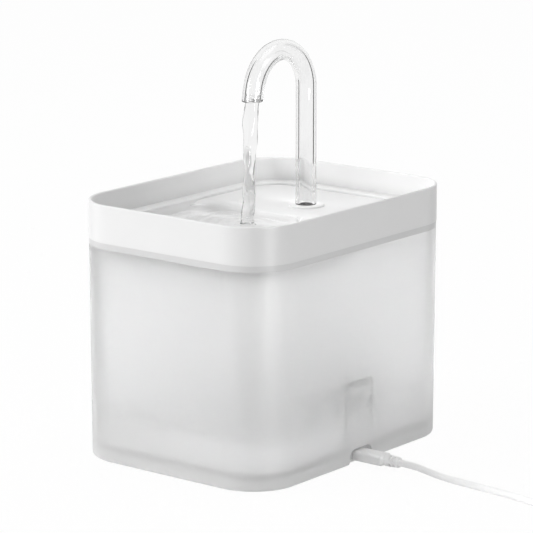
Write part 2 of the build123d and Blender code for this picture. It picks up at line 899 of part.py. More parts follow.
def make_pump_housing():
    """Pump body: pump chamber, rotor well, dry space for the stator and the spout."""
    body = span_box((pump_left_x, chamber_front_y, pump_floor_z),
                    (pump_right_x, pump_back_y, pump_top_z))
    body = fillet(body.edges().filter_by(Axis.Y), pump_corner)
    body = body + upright_rod(spigot_outer, pump_top_z, spout_top_z, 0, stem_y)
    dry = span_box((pump_left_x + pump_wall, dry_start_y, pump_floor_z + pump_wall),
                   (pump_right_x - pump_wall, pump_back_y, pump_top_z - pump_wall))
    cup = rod_along_y(well_diameter + 2 * well_wall, chamber_back_y, well_end_y + well_wall,
                      0, pump_axis_z)
    body = body - (dry - cup)
    body = body - rod_along_y(chamber_diameter, chamber_front_y, chamber_back_y, 0, pump_axis_z)
    body = body - rod_along_y(well_diameter, chamber_back_y, well_end_y, 0, pump_axis_z)
    holder = rod_along_y(rear_bush_diameter + 2 * bush_holder_wall, well_end_y - bush_length,
                         well_end_y, 0, pump_axis_z)
    holder = holder - rod_along_y(rear_bush_diameter, well_end_y - bush_length, well_end_y, 0,
                                  pump_axis_z)
    body = body + holder
    return body - upright_rod(spigot_bore, pump_axis_z, spout_top_z, 0, stem_y)


def make_pump_back_cover():
    """Plate that closes the dry space of the pump."""
    plate = span_box((pump_left_x, pump_back_y, pump_floor_z),
                     (pump_right_x, pump_back_y + pump_wall, pump_top_z))
    return fillet(plate.edges().filter_by(Axis.Y), pump_corner)


def window_sector(start_y, thickness, angle):
    """One intake window, a sector of a ring about the rotor's axis."""
    ring = rod_along_y(2 * window_outer_radius, start_y, start_y + thickness, 0, pump_axis_z)
    ring = ring - rod_along_y(2 * window_inner_radius, start_y, start_y + thickness, 0, pump_axis_z)
    reach = 2 * window_outer_radius
    half = radians(window_angle / 2)
    corner = reach / cos(half)
    wedge = Polygon((0, 0), (corner * cos(half), corner * sin(half)),
                    (corner * cos(half), -corner * sin(half)), align=None)
    plane = Plane(origin=(0, start_y, pump_axis_z), x_dir=(1, 0, 0), z_dir=(0, -1, 0))
    slice_block = extrude(plane * (Rot(0, 0, angle) * wedge), -thickness)
    return ring & slice_block


def intake_windows_at(start_y, thickness):
    """All intake windows through a plate, evenly round the hub."""
    step = 360 / intake_windows
    return [window_sector(start_y, thickness, 90 + step / 2 + index * step)
            for index in range(intake_windows)]


def make_volute_cover():
    """Front plate of the pump with the intake windows and a hub for the shaft."""
    plate = rod_along_y(volute_cover_diameter, cover_front_y, chamber_front_y, 0, pump_axis_z)
    plate = plate & span_box((pump_left_x, cover_front_y, pump_floor_z),
                             (pump_right_x, chamber_front_y, pump_top_z))
    for window in intake_windows_at(cover_front_y, volute_cover_thickness):
        plate = plate - window
    hub = rod_along_y(hub_diameter, cover_front_y - hub_length, cover_front_y, 0, pump_axis_z)
    lip = rod_along_y(hub_diameter + 2 * hub_lip, cover_front_y - hub_length,
                      cover_front_y - hub_length + hub_lip, 0, pump_axis_z)
    cover = plate + hub + lip
    bush_start = chamber_front_y - bush_length
    cover = cover - rod_along_y(bush_diameter, bush_start, chamber_front_y, 0, pump_axis_z)
    return cover - rod_along_y(shaft_diameter, bush_start - shaft_end_room, bush_start, 0, pump_axis_z)


def make_flow_adjuster():
    """Turning shutter in front of the intake windows, with a small lever."""
    end_y = cover_front_y - adjuster_gap
    start_y = end_y - adjuster_thickness
    disc = rod_along_y(2 * adjuster_outer_radius, start_y, end_y, 0, pump_axis_z)
    lever = span_box((-adjuster_lever_width / 2, start_y, pump_axis_z + window_outer_radius),
                     (adjuster_lever_width / 2, end_y, pump_axis_z + adjuster_lever_radius))
    shutter = disc + lever
    for window in intake_windows_at(start_y, adjuster_thickness):
        shutter = shutter - window
    return shutter - rod_along_y(hub_diameter + 2 * running_fit, start_y, end_y, 0, pump_axis_z)


def rotor_start_y():
    """Front face of the impeller, clear of the front bush."""
    return chamber_front_y + rotor_end_gap


def rotor_end_y():
    """Rear end of the rotor, clear of the rear bush."""
    return well_end_y - bush_length - rotor_end_gap


def make_impeller():
    """Impeller with straight blades on a disc, and a sleeve through the magnet."""
    front = rotor_start_y()
    disc_y = front + blade_height
    disc = rod_along_y(2 * blade_radius, disc_y, disc_y + blade_disc, 0, pump_axis_z)
    sleeve = rod_along_y(sleeve_diameter, front, rotor_end_y(), 0, pump_axis_z)
    impeller = disc + sleeve
    for index in range(blade_count):
        blade = span_box((sleeve_diameter / 4, front, -blade_thickness / 2),
                         (blade_radius - blade_tip_step, disc_y, blade_thickness / 2))
        impeller = impeller + Pos(0, 0, pump_axis_z) * Rot(0, index * 360 / blade_count, 0) * blade
    bore = shaft_diameter + 2 * running_fit
    return impeller - rod_along_y(bore, front, rotor_end_y(), 0, pump_axis_z)


def make_rotor_magnet():
    """Ring magnet on the impeller's sleeve."""
    end = rotor_end_y()
    ring = rod_along_y(magnet_diameter, end - magnet_length, end, 0, pump_axis_z)
    return ring - rod_along_y(sleeve_diameter, end - magnet_length, end, 0, pump_axis_z)


def make_rotor_shaft():
    """Fixed ceramic shaft between the two bushes."""
    return rod_along_y(shaft_diameter, chamber_front_y - bush_length, well_end_y, 0, pump_axis_z)


def make_shaft_bushes():
    """Rubber bushes that hold the shaft's two ends."""
    front = rod_along_y(bush_diameter, chamber_front_y - bush_length, chamber_front_y, 0, pump_axis_z)
    rear = rod_along_y(rear_bush_diameter, well_end_y - bush_length, well_end_y, 0, pump_axis_z)
    shaft = make_rotor_shaft()
    return Compound(children=[front - shaft, rear - shaft])


def make_stator_core():
    """Laminated core: two poles over and under the rotor well, joined by a yoke."""
    start_y = core_start_y
    end_y = core_start_y + core_length
    well_radius = well_diameter / 2 + well_wall + pole_gap
    reach = well_radius + pole_thickness
    yoke_x = pump_left_x + pump_wall + winding_thickness + winding_margin
    core = span_box((yoke_x, start_y, pump_axis_z - reach),
                    (well_radius * pole_reach, end_y, pump_axis_z + reach))
    window = span_box((yoke_x + yoke_width, start_y, pump_axis_z - well_radius + pole_lip),
                      (well_radius, end_y, pump_axis_z + well_radius - pole_lip))
    core = core - window
    return core - rod_along_y(2 * well_radius, start_y, end_y, 0, pump_axis_z)


def make_stator_winding():
    """Copper winding round the yoke."""
    yoke_x = pump_left_x + pump_wall + winding_thickness + winding_margin
    half = well_diameter / 2 - winding_height_cut
    start_y = core_start_y
    end_y = core_start_y + core_length
    outer = span_box((yoke_x - winding_thickness, start_y - winding_thickness, pump_axis_z - half),
                     (yoke_x + yoke_width + winding_thickness - winding_inner_cut,
                      end_y + winding_thickness - winding_end_cut, pump_axis_z + half))
    outer = fillet(outer.edges().filter_by(Axis.Z), winding_corner)
    yoke = span_box((yoke_x, start_y, pump_axis_z - half), (yoke_x + yoke_width, end_y, pump_axis_z + half))
    cup = rod_along_y(well_diameter + 2 * well_wall, start_y - winding_thickness,
                      end_y + winding_thickness, 0, pump_axis_z)
    return outer - yoke - cup


def make_driver_board():
    """Small board behind the stator, against the back cover."""
    edge = pump_wall + driver_board_gap
    return span_box((pump_left_x + edge, pump_back_y - driver_board_thickness, pump_floor_z + edge),
                    (pump_right_x - edge, pump_back_y, pump_top_z - edge))


def make_pickup_coil():
    """Potted pick-up winding under the pump, on the floor of the filter box."""
    low_z = box_floor_z + box_wall
    centre_y = (chamber_front_y + pump_back_y) / 2
    disc = upright_rod(pickup_coil_diameter, low_z, pump_floor_z, 0, centre_y)
    bore = upright_rod(pickup_coil_bore, low_z, pump_floor_z, 0, centre_y)
    return disc - bore


# ---------------------------------------------------------------- power plug and cord


def make_plug_body():
    """Overmould of the power plug, with a bevelled end towards the cord."""
    start_x = socket_mouth_x() + plug_face_gap
    outline = RectangleRounded(plug_width, plug_height, plug_round)
    body = extrude(across_x(start_x) * outline, plug_length)
    end = body.faces().sort_by(Axis.X)[-1]
    return chamfer(end.edges(), plug_nose_chamfer)


def make_plug_tongue():
    """Metal tongue of the plug inside the socket."""
    end_x = socket_mouth_x() + plug_face_gap
    start_x = socket_mouth_x() - tongue_length
    outline = RectangleRounded(tongue_width, tongue_height, tongue_height / 2 - tongue_edge_flat)
    return extrude(across_x(start_x) * outline, end_x - start_x)


def relief_start_x():
    """Start of the strain relief, at the plug's end."""
    return socket_mouth_x() + plug_face_gap + plug_length


def relief_end_x():
    """End of the strain relief, where the cord comes out."""
    return relief_start_x() + relief_length


def make_plug_relief():
    """Tapered relief with slotted ribs."""
    start_x = relief_start_x()
    neck = across_x(start_x, plug_z) * Circle(neck_diameter / 2)
    tip = across_x(start_x + relief_length, plug_z) * Circle(relief_end_diameter / 2)
    relief = loft([neck, tip], ruled=True)
    relief = fillet(relief.faces().sort_by(Axis.X)[-1].edges(), relief_end_round)
    first = start_x + relief_slot_start
    for index in range(relief_slots):
        x = first + index * relief_slot_pitch
        ring = extrude(across_x(x, plug_z) * Circle(neck_diameter), relief_slot_width)
        ring = ring - extrude(across_x(x, plug_z) * Circle(neck_diameter / 2 - relief_slot_depth),
                              relief_slot_width)
        end_x = x + relief_slot_width
        bridge = span_box((x, -relief_bridge / 2, plug_z - neck_diameter),
                          (end_x, relief_bridge / 2, plug_z + neck_diameter))
        side = span_box((x, -neck_diameter, plug_z - relief_bridge / 2),
                        (end_x, neck_diameter, plug_z + relief_bridge / 2))
        relief = relief - (ring - (bridge + side))
    return relief


def lead_points():
    """Route of the cord from the strain relief to the coil."""
    floor = cord_diameter / 2
    return [
        (relief_end_x(), 0.0, plug_z),
        (106.5, 0.0, plug_z),
        (118.0, 0.2, 2.9),
        (132.0, -0.7, floor),
        (152.0, -2.0, floor),
        (175.0, -4.1, floor),
        (196.0, -8.4, floor),
        (211.5, -17.6, floor),
        (coil_centre_x, coil_centre_y - coil_line_radius, floor),
    ]


def tail_points():
    """Route of the cord from the top of the coil to the far plug."""
    top = coil_height - cord_diameter / 2
    low = far_plug_height / 2
    start_x = coil_centre_x + coil_line_radius
    last_x = start_x - 10.4
    last_y = coil_centre_y + 38.2
    heading = radians(far_plug_heading)
    return [
        (start_x, coil_centre_y, top),
        (start_x + 0.3, coil_centre_y + 13.0, 12.0),
        (start_x - 2.8, coil_centre_y + 26.6, 7.0),
        (last_x, last_y, low),
        (last_x + tail_last_run * cos(heading), last_y + tail_last_run * sin(heading), low),
    ]


def tangent_radii(points):
    """Radius of each corner: 0.45 of its shorter run over the tangent of half the turn."""
    radii = []
    for before, at, after in zip(points, points[1:], points[2:]):
        arrive = Vector(*at) - Vector(*before)
        leave = Vector(*after) - Vector(*at)
        turn = arrive.get_angle(leave)
        shorter = min(arrive.length, leave.length)
        radii.append(0.45 * shorter / tan(radians(turn / 2)))
    return radii


def make_cord(name, points):
    """Round cord of straight runs joined by tangent arcs."""
    radii = tangent_radii(points)
    path = FilletPolyline(*points, radius=radii)
    section = Plane(origin=path @ 0, z_dir=path % 0) * Circle(cord_diameter / 2)
    cord = sweep(section, path=path)
    expected = pi * cord_diameter**2 / 4 * path.length
    print(name, "length", round(path.length, 2), "radii", [round(r, 1) for r in radii],
          "volume", round(cord.volume, 1), "expected", round(expected, 1))
    return cord


def make_cord_coil():
    """Outer shape of the stored coil."""
    ring = upright_rod(2 * coil_outer_radius, 0, coil_height, coil_centre_x, coil_centre_y)
    ring = ring - upright_rod(2 * coil_inner_radius, 0, coil_height, coil_centre_x, coil_centre_y)
    return fillet(edges_at(ring, 0) + edges_at(ring, coil_height), cord_diameter / 2)


def make_cord_tie():
    """Strap round the bundle on the side that faces away from the tank's front."""
    inner = coil_inner_radius - tie_thickness
    outer = coil_outer_radius + tie_thickness
    band = span_box((coil_centre_x - tie_width / 2, coil_centre_y + inner, 0),
                    (coil_centre_x + tie_width / 2, coil_centre_y + outer, coil_height + tie_thickness))
    band = fillet(band.edges().filter_by(Axis.X), cord_diameter / 2 + tie_thickness / 2)
    return band - make_cord_coil()


def far_plug_frame():
    """Plane at the far plug's cord end, its Z along the plug."""
    end = tail_points()[-1]
    heading = Vector(cos(radians(far_plug_heading)), sin(radians(far_plug_heading)), 0)
    sideways = Vector(-heading.Y, heading.X, 0)
    return Plane(origin=end, x_dir=sideways, z_dir=heading)


def far_block(start, length, width, height, corner):
    """Rounded block along the far plug's axis."""
    plane = far_plug_frame().offset(start)
    return extrude(plane * RectangleRounded(width, height, corner), length)


def make_far_relief():
    """Tapered relief of the far plug."""
    plane = far_plug_frame()
    small = plane * Circle(cord_diameter / 2 + far_relief_wall)
    large = plane.offset(far_relief_length) * Circle(far_relief_diameter / 2)
    return loft([small, large], ruled=True)


def make_far_plug():
    """Overmould of the far plug."""
    body = far_block(far_relief_length, far_plug_length, far_plug_width, far_plug_height, far_plug_round)
    plane = far_plug_frame()
    back = [f for f in body.faces() if abs(plane.to_local_coords(f.center()).Z - far_relief_length) < slack]
    return chamfer(back[0].edges(), far_plug_chamfer)


def make_far_shell():
    """Metal shell of the far plug with its insulating tongue inside."""
    start = far_relief_length + far_plug_length
    shell = far_block(start, far_shell_length, far_shell_width, far_shell_height, far_shell_round)
    width = far_shell_width - 2 * far_shell_wall
    gap = far_shell_height / 2 - far_shell_wall
    plane = far_plug_frame().offset(start + far_shell_back)
    cavity = plane * Pos(0, gap / 2) * Rectangle(width, gap)
    return shell - extrude(cavity, far_shell_length)


def build_parts():
    """Every node of the fountain by name."""
    return {
        "water_tank": make_water_tank(),
        "bottom_cover": make_bottom_cover(),
        "cover_screws": make_cover_screws(),
        "rubber_feet": make_rubber_feet(),
        "drive_case": make_drive_case(),
        "drive_board": make_drive_board(),
        "board_parts": make_board_parts(),
        "power_socket": make_power_socket(),
        "socket_gasket": make_socket_gasket(),
        "drive_coil": make_drive_coil(),
        "drive_ferrite": make_drive_ferrite(),
        "coil_lead": make_coil_lead(),
        "bowl_tray": make_bowl_tray(),
        "faucet_collar": make_faucet_collar(),
        "collar_seal": make_o_ring(),
        "tube_sleeve": make_tube_sleeve(),
        "faucet_tube": make_faucet_tube(),
        "outlet_ring": make_outlet_ring(),
        "outlet_hose": make_outlet_hose(),
        "filter_box": make_filter_box(),
        "box_pads": make_box_pads(),
        "filter_lid": make_filter_lid(),
        "foam_sponge": make_foam_sponge(),
        "carbon_filter": make_carbon_filter(),
        "pump_housing": make_pump_housing(),
        "pump_back_cover": make_pump_back_cover(),
        "volute_cover": make_volute_cover(),
        "flow_adjuster": make_flow_adjuster(),
        "impeller": make_impeller(),
        "rotor_magnet": make_rotor_magnet(),
        "rotor_shaft": make_rotor_shaft(),
        "shaft_bushes": make_shaft_bushes(),
        "stator_core": make_stator_core(),
        "stator_winding": make_stator_winding(),
        "driver_board": make_driver_board(),
        "pickup_coil": make_pickup_coil(),
        "plug_body": make_plug_body(),
        "plug_tongue": make_plug_tongue(),
        "plug_relief": make_plug_relief(),
        "usb_cord": make_cord("usb_cord", lead_points()),
        "cord_coil": make_cord_coil(),
        "cord_tie": make_cord_tie(),
        "cord_tail": make_cord("cord_tail", tail_points()),
        "far_relief": make_far_relief(),
        "far_plug": make_far_plug(),
        "far_shell": make_far_shell(),
    }


os.makedirs("parts", exist_ok=True)
for node_name, node_shape in build_parts().items():
    export_step(node_shape, f"parts/{node_name}.step")
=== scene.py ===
"""Looks of a square pet water fountain: finishes, clear faucet, running water and power cord.

All lengths are metres in the part's own frame. The origin is the centre of the footprint on the
floor, +Z is up, -Y is the front with the drinking bowl and +X is the side with the power plug.
"""

from __future__ import annotations

import logging
import math
import random
from dataclasses import dataclass
from enum import Enum
from typing import Sequence

import bpy
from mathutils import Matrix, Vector, noise


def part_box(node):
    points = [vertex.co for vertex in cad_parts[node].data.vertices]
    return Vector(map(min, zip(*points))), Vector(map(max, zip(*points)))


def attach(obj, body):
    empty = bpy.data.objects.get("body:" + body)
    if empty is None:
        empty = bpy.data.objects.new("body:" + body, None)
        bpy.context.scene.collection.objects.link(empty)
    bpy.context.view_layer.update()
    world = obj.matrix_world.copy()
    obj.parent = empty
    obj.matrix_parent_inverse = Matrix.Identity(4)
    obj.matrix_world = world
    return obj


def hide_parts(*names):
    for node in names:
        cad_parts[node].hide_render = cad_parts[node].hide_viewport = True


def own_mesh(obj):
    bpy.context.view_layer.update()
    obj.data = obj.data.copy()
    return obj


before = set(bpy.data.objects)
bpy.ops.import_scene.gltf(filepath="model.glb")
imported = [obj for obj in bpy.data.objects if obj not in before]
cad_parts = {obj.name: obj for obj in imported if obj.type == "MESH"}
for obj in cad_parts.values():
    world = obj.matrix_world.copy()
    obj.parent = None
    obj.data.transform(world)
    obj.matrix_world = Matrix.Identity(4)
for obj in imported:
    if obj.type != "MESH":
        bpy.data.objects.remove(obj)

MM = 0.001
GRAVITY = 9.81
WHITE = (1.0, 1.0, 1.0, 1.0)
REPORT = logging.getLogger("fountain")

Colour = tuple[float, float, float]
Face = tuple[int, ...]
Socket = bpy.types.NodeSocket
Triple = tuple[float, float, float]

# Where clouds of noise begin and end, for one cloud and for the sum of two
ONE_CLOUD = (0.3, 0.7)
TWO_CLOUDS = (0.7, 1.3)


class Body(Enum):
    """Bodies of the frame that the new pieces ride on."""

    TRAY = "tray"
    FAUCET = "faucet"
    CORD_SET = "cord_set"


# ------------------------------------------------------------------ node graphs


def grey(level: float, warmth: float = 0.0) -> Colour:
    """Neutral colour of one level, a little warm or cold."""
    return (level * (1 + warmth), level, level * (1 - warmth))


def scaled(colour: Colour, factor: float) -> Colour:
    """The same colour, lighter or darker by a factor, kept at or under 1."""
    return tuple(min(1.0, channel * factor) for channel in colour)


class Graph:
    """Node tree of one material, with short ways to add what the finishes share."""

    def __init__(self, name: str) -> None:
        """Makes the material with its shader and its object coordinates.

        Args:
            name: Name of the material.
        """
        self.material = bpy.data.materials.new(name)
        self.material.use_nodes = True
        self.tree = self.material.node_tree
        self.tree.nodes.clear()
        self.output = self.add("ShaderNodeOutputMaterial")
        self.shader = self.add("ShaderNodeBsdfPrincipled")
        self.link(self.shader.outputs["BSDF"], self.output.inputs["Surface"])
        self.places = self.add("ShaderNodeTexCoord").outputs["Object"]

    def add(self, kind: str, **settings: object) -> bpy.types.Node:
        """Adds a node of a kind and sets its own settings.

        Args:
            kind: Blender's name of the node type.
            **settings: Properties of the node, such as operation or data_type.

        Returns:
            The new node.
        """
        node = self.tree.nodes.new(kind)
        for key, value in settings.items():
            setattr(node, key, value)
        return node

    def link(self, source: Socket, target: Socket) -> None:
        """Links one socket to another."""
        self.tree.links.new(source, target)

    def fix(self, **values: object) -> None:
        """Sets constants on the shader's own sockets, with underscores for spaces."""
        for key, value in values.items():
            self.shader.inputs[key.replace("_", " ")].default_value = value

    def stretched(self, stretch: Sequence[float]) -> Socket:
        """Object coordinates scaled apart along X, Y and Z.

        Args:
            stretch: Scale along each axis.

        Returns:
            The scaled coordinates.
        """
        mapping = self.add("ShaderNodeMapping")
        mapping.inputs["Scale"].default_value = stretch
        self.link(self.places, mapping.inputs["Vector"])
        return mapping.outputs["Vector"]

    def cloud(self, size: float, detail: float = 3.0, stretch: Sequence[float] = (1, 1, 1)) -> Socket:
        """Soft noise whose spots have about one size.

        Args:
            size: Size of a spot in metres.
            detail: Octaves of the noise.
            stretch: Scale along each axis before the noise.

        Returns:
            The noise's value, about 0.5 on average.
        """
        texture = self.add("ShaderNodeTexNoise")
        texture.inputs["Scale"].default_value = 1.0 / size
        texture.inputs["Detail"].default_value = detail
        self.link(self.stretched(stretch), texture.inputs["Vector"])
        return texture.outputs["Fac"]

    def cells(self, size: float, feature: str = "F1", stretch: Sequence[float] = (1, 1, 1)) -> Socket:
        """Distance within a pattern of cells.

        Args:
            size: Size of a cell in metres.
            feature: Which distance, such as F1 or DISTANCE_TO_EDGE.
            stretch: Scale along each axis before the pattern.

        Returns:
            The distance.
        """
        texture = self.add("ShaderNodeTexVoronoi", feature=feature)
        texture.inputs["Scale"].default_value = 1.0 / size
        self.link(self.stretched(stretch), texture.inputs["Vector"])
        return texture.outputs["Distance"]

    def stripes(self, pitch: float, axis: str, rings: bool = False, wobble: float = 0.0) -> Socket:
        """Even stripes across an axis, or rings about it.

        Args:
            pitch: Distance between two stripes in metres.
            axis: X, Y or Z.
            rings: Whether the stripes are rings about the axis.
            wobble: How much the stripes are bent out of line.

        Returns:
            The stripes' value from 0 to 1.
        """
        texture = self.add("ShaderNodeTexWave", wave_type="RINGS" if rings else "BANDS")
        if rings:
            texture.rings_direction = axis
        else:
            texture.bands_direction = axis
        texture.inputs["Scale"].default_value = math.pi / (10.0 * pitch)
        texture.inputs["Distortion"].default_value = wobble
        texture.inputs["Detail Scale"].default_value = 1.5
        self.link(self.places, texture.inputs["Vector"])
        return texture.outputs["Fac"]

    def span(self, value: Socket, low: float, high: float, start: float = ONE_CLOUD[0],
             end: float = ONE_CLOUD[1]) -> Socket:
        """Maps a value from start..end to low..high.

        Args:
            value: Socket to map.
            low: Result at start.
            high: Result at end.
            start: Input that gives low.
            end: Input that gives high.

        Returns:
            The mapped value.
        """
        node = self.add("ShaderNodeMapRange")
        for key, number in (("From Min", start), ("From Max", end), ("To Min", low), ("To Max", high)):
            node.inputs[key].default_value = number
        self.link(value, node.inputs["Value"])
        return node.outputs["Result"]

    def above(self, height: float, soft: float, below: float = 0.0, over: float = 1.0) -> Socket:
        """One value below a height and another over it, with a soft change between.

        Args:
            height: Height of the middle of the change.
            soft: Height of the change.
            below: Value under it.
            over: Value over it.

        Returns:
            The value.
        """
        return self.span(self.z_of(self.places), below, over, height - soft / 2, height + soft / 2)

    def openness(self, reach: float) -> Socket:
        """1 in the open and less in the creases of the piece itself.

        Args:
            reach: Distance within which other faces count.

        Returns:
            The openness.
        """
        node = self.add("ShaderNodeAmbientOcclusion", samples=8, only_local=True)
        node.inputs["Distance"].default_value = reach
        return node.outputs["AO"]

    def upward(self) -> Socket:
        """1 on faces that look up, 0 on upright walls and -1 on faces that look down."""
        return self.z_of(self.places.node.outputs["Normal"])

    def levelness(self) -> Socket:
        """0 on upright walls and 1 on level faces, by the object's own normal."""
        return self.combine("ABSOLUTE", self.upward())

    def z_of(self, vector: Socket) -> Socket:
        """Takes the Z out of a vector.

        Args:
            vector: Socket of the vector.

        Returns:
            Its Z.
        """
        parts = self.add("ShaderNodeSeparateXYZ")
        self.link(vector, parts.inputs["Vector"])
        return parts.outputs["Z"]

    def combine(self, operation: str, *values: Socket) -> Socket:
        """Works out one value from others.

        Args:
            operation: Blender's name of the operation, such as ADD.
            *values: Values that it works on, in order.

        Returns:
            The result.
        """
        node = self.add("ShaderNodeMath", operation=operation)
        for value, target in zip(values, node.inputs):
            self.link(value, target)
        return node.outputs["Value"]

    def times(self, first: Socket, second: Socket) -> Socket:
        """Product of two values."""
        return self.combine("MULTIPLY", first, second)

    def plus(self, first: Socket, second: Socket) -> Socket:
        """Sum of two values."""
        return self.combine("ADD", first, second)

    def tint(self, factor: Socket, first: Colour, second: Colour) -> Socket:
        """Colour between two colours, by a factor.

        Args:
            factor: 0 for the first colour, 1 for the second.
            first: Colour at 0.
            second: Colour at 1.

        Returns:
            The mixed colour.
        """
        node = self.add("ShaderNodeMix", data_type="RGBA")
        colours = [s for s in node.inputs if s.type == "RGBA"]
        colours[0].default_value = (*first, 1.0)
        colours[1].default_value = (*second, 1.0)
        self.link(factor, node.inputs["Factor"])
        return next(s for s in node.outputs if s.type == "RGBA")

    def colour(self, socket: Socket) -> None:
        """Feeds the base colour."""
        self.link(socket, self.shader.inputs["Base Color"])

    def tone(self, factor: Socket) -> None:
        """Multiplies the base colour that is already fed.

        Args:
            factor: Factor to multiply it by.
        """
        node = self.add("ShaderNodeMix", data_type="RGBA", blend_type="MULTIPLY")
        colours = [s for s in node.inputs if s.type == "RGBA"]
        node.inputs["Factor"].default_value = 1.0
        self.link(self.shader.inputs["Base Color"].links[0].from_socket, colours[0])
        self.link(factor, colours[1])
        self.colour(next(s for s in node.outputs if s.type == "RGBA"))

    def rough(self, socket: Socket) -> None:
        """Feeds the roughness."""
        self.link(socket, self.shader.inputs["Roughness"])

    def bump(self, height: Socket, depth: float) -> None:
        """Adds relief of a depth in metres over what the shader already has.

        Args:
            height: Height from 0 to 1.
            depth: Distance that a height of 1 stands for.
        """
        node = self.add("ShaderNodeBump")
        node.inputs["Distance"].default_value = depth
        self.link(height, node.inputs["Height"])
        for link in self.shader.inputs["Normal"].links:
            self.link(link.from_socket, node.inputs["Normal"])
        self.link(node.outputs["Normal"], self.shader.inputs["Normal"])


# ------------------------------------------------------------------ finishes


@dataclass(frozen=True)
class Finish:
    """A surface finish that can be made into a material once."""

    name: str
    colour: Colour
    roughness: float = 0.5

    def dress(self, graph: Graph) -> None:
        """Builds the nodes of the finish; each kind of finish has its own."""
        raise NotImplementedError

    def material(self) -> bpy.types.Material:
        """The finish's material, made the first time that it is asked for.

        Returns:
            The material.
        """
        found = bpy.data.materials.get(self.name)
        if found is not None:
            return found
        graph = Graph(self.name)
        graph.fix(Base_Color=(*self.colour, 1.0), Roughness=self.roughness)
        self.dress(graph)
        return graph.material


@dataclass(frozen=True)
class MouldedPlastic(Finish):
    """Opaque moulded plastic with a fine grain and a faint unevenness of tone."""

    roughness: float = 0.38
    grain: float = 0.35 * MM
    grain_depth: float = 0.012 * MM
    mottle: float = 0.015
    mottle_size: float = 28 * MM
    roughness_swing: float = 0.05
    sink: float = 6 * MM
    sink_depth: float = 0.01 * MM
    ior: float = 1.48

    def dress(self, graph: Graph) -> None:
        """Builds the nodes of the finish.

        Args:
            graph: Node tree to build in.
        """
        broad = graph.cloud(self.mottle_size, detail=2)
        fine = graph.cloud(self.grain, detail=4)
        graph.colour(graph.tint(graph.span(broad, 0, 1), scaled(self.colour, 1 - self.mottle), self.colour))
        graph.rough(graph.span(graph.plus(broad, fine), self.roughness - self.roughness_swing,
                               self.roughness + self.roughness_swing, *TWO_CLOUDS))
        graph.bump(graph.cloud(self.sink, detail=1), self.sink_depth)
        graph.bump(fine, self.grain_depth)
        graph.fix(IOR=self.ior)


@dataclass(frozen=True)
class TrayPlastic(MouldedPlastic):
    """Moulded plastic of the tray, greyer with painted shade in its creases and on its underside where it
    hangs in the tank.
    """

    lip_z: float = 123.0 * MM
    lip_soft: float = 0.6 * MM
    # tone of the painted shade on the underside below lip_z, where it does not look up
    under: float = 0.35
    up_range: tuple[float, float] = (0.02, 0.12)
    # painted shade in creases, from the piece's own ambient occlusion
    crease_shade: float = 0.84
    crease_shade_reach: float = 7.0 * MM
    crease_shade_range: tuple[float, float] = (0.35, 0.95)

    def dress(self, graph: Graph) -> None:
        """Builds the nodes of the finish.

        Args:
            graph: Node tree to build in.
        """
        super().dress(graph)
        # painted shade: the underside below lip_z that does not look up is darkened to the under tone
        seen = graph.plus(graph.above(self.lip_z, self.lip_soft),
                          graph.span(graph.upward(), 0, 1, *self.up_range))
        graph.tone(graph.span(seen, self.under, 1.0, 0.0, 1.0))
        # painted shade: darker where the piece's own faces close round, as in creases and corners
        graph.tone(graph.span(graph.openness(self.crease_shade_reach), self.crease_shade, 1.0, *self.crease_shade_range))


@dataclass(frozen=True)
class FrostedPlastic(Finish):
    """Milky plastic that lets soft light through its matt skin."""

    roughness: float = 0.55
    clarity: float = 0.6
    ior: float = 1.45
    grain: float = 0.5 * MM
    grain_depth: float = 0.02 * MM
    flow: float = 45 * MM
    flow_stretch: Triple = (1, 1, 0.5)
    flow_shade: float = 0.985
    roughness_swing: float = 0.04
    sink: float = 3 * MM
    sink_depth: float = 0.01 * MM

    def dress(self, graph: Graph) -> None:
        """Builds the nodes of the finish.

        Args:
            graph: Node tree to build in.
        """
        flow = graph.cloud(self.flow, detail=3, stretch=self.flow_stretch)
        fine = graph.cloud(self.grain, detail=3)
        graph.colour(graph.tint(graph.span(flow, 0, 1), scaled(self.colour, self.flow_shade), self.colour))
        graph.rough(graph.span(graph.plus(flow, fine), self.roughness - self.roughness_swing,
                               self.roughness + self.roughness_swing, *TWO_CLOUDS))
        graph.bump(graph.cloud(self.sink, detail=1), self.sink_depth)
        graph.bump(fine, self.grain_depth)
        graph.fix(IOR=self.ior, Transmission_Weight=self.clarity)


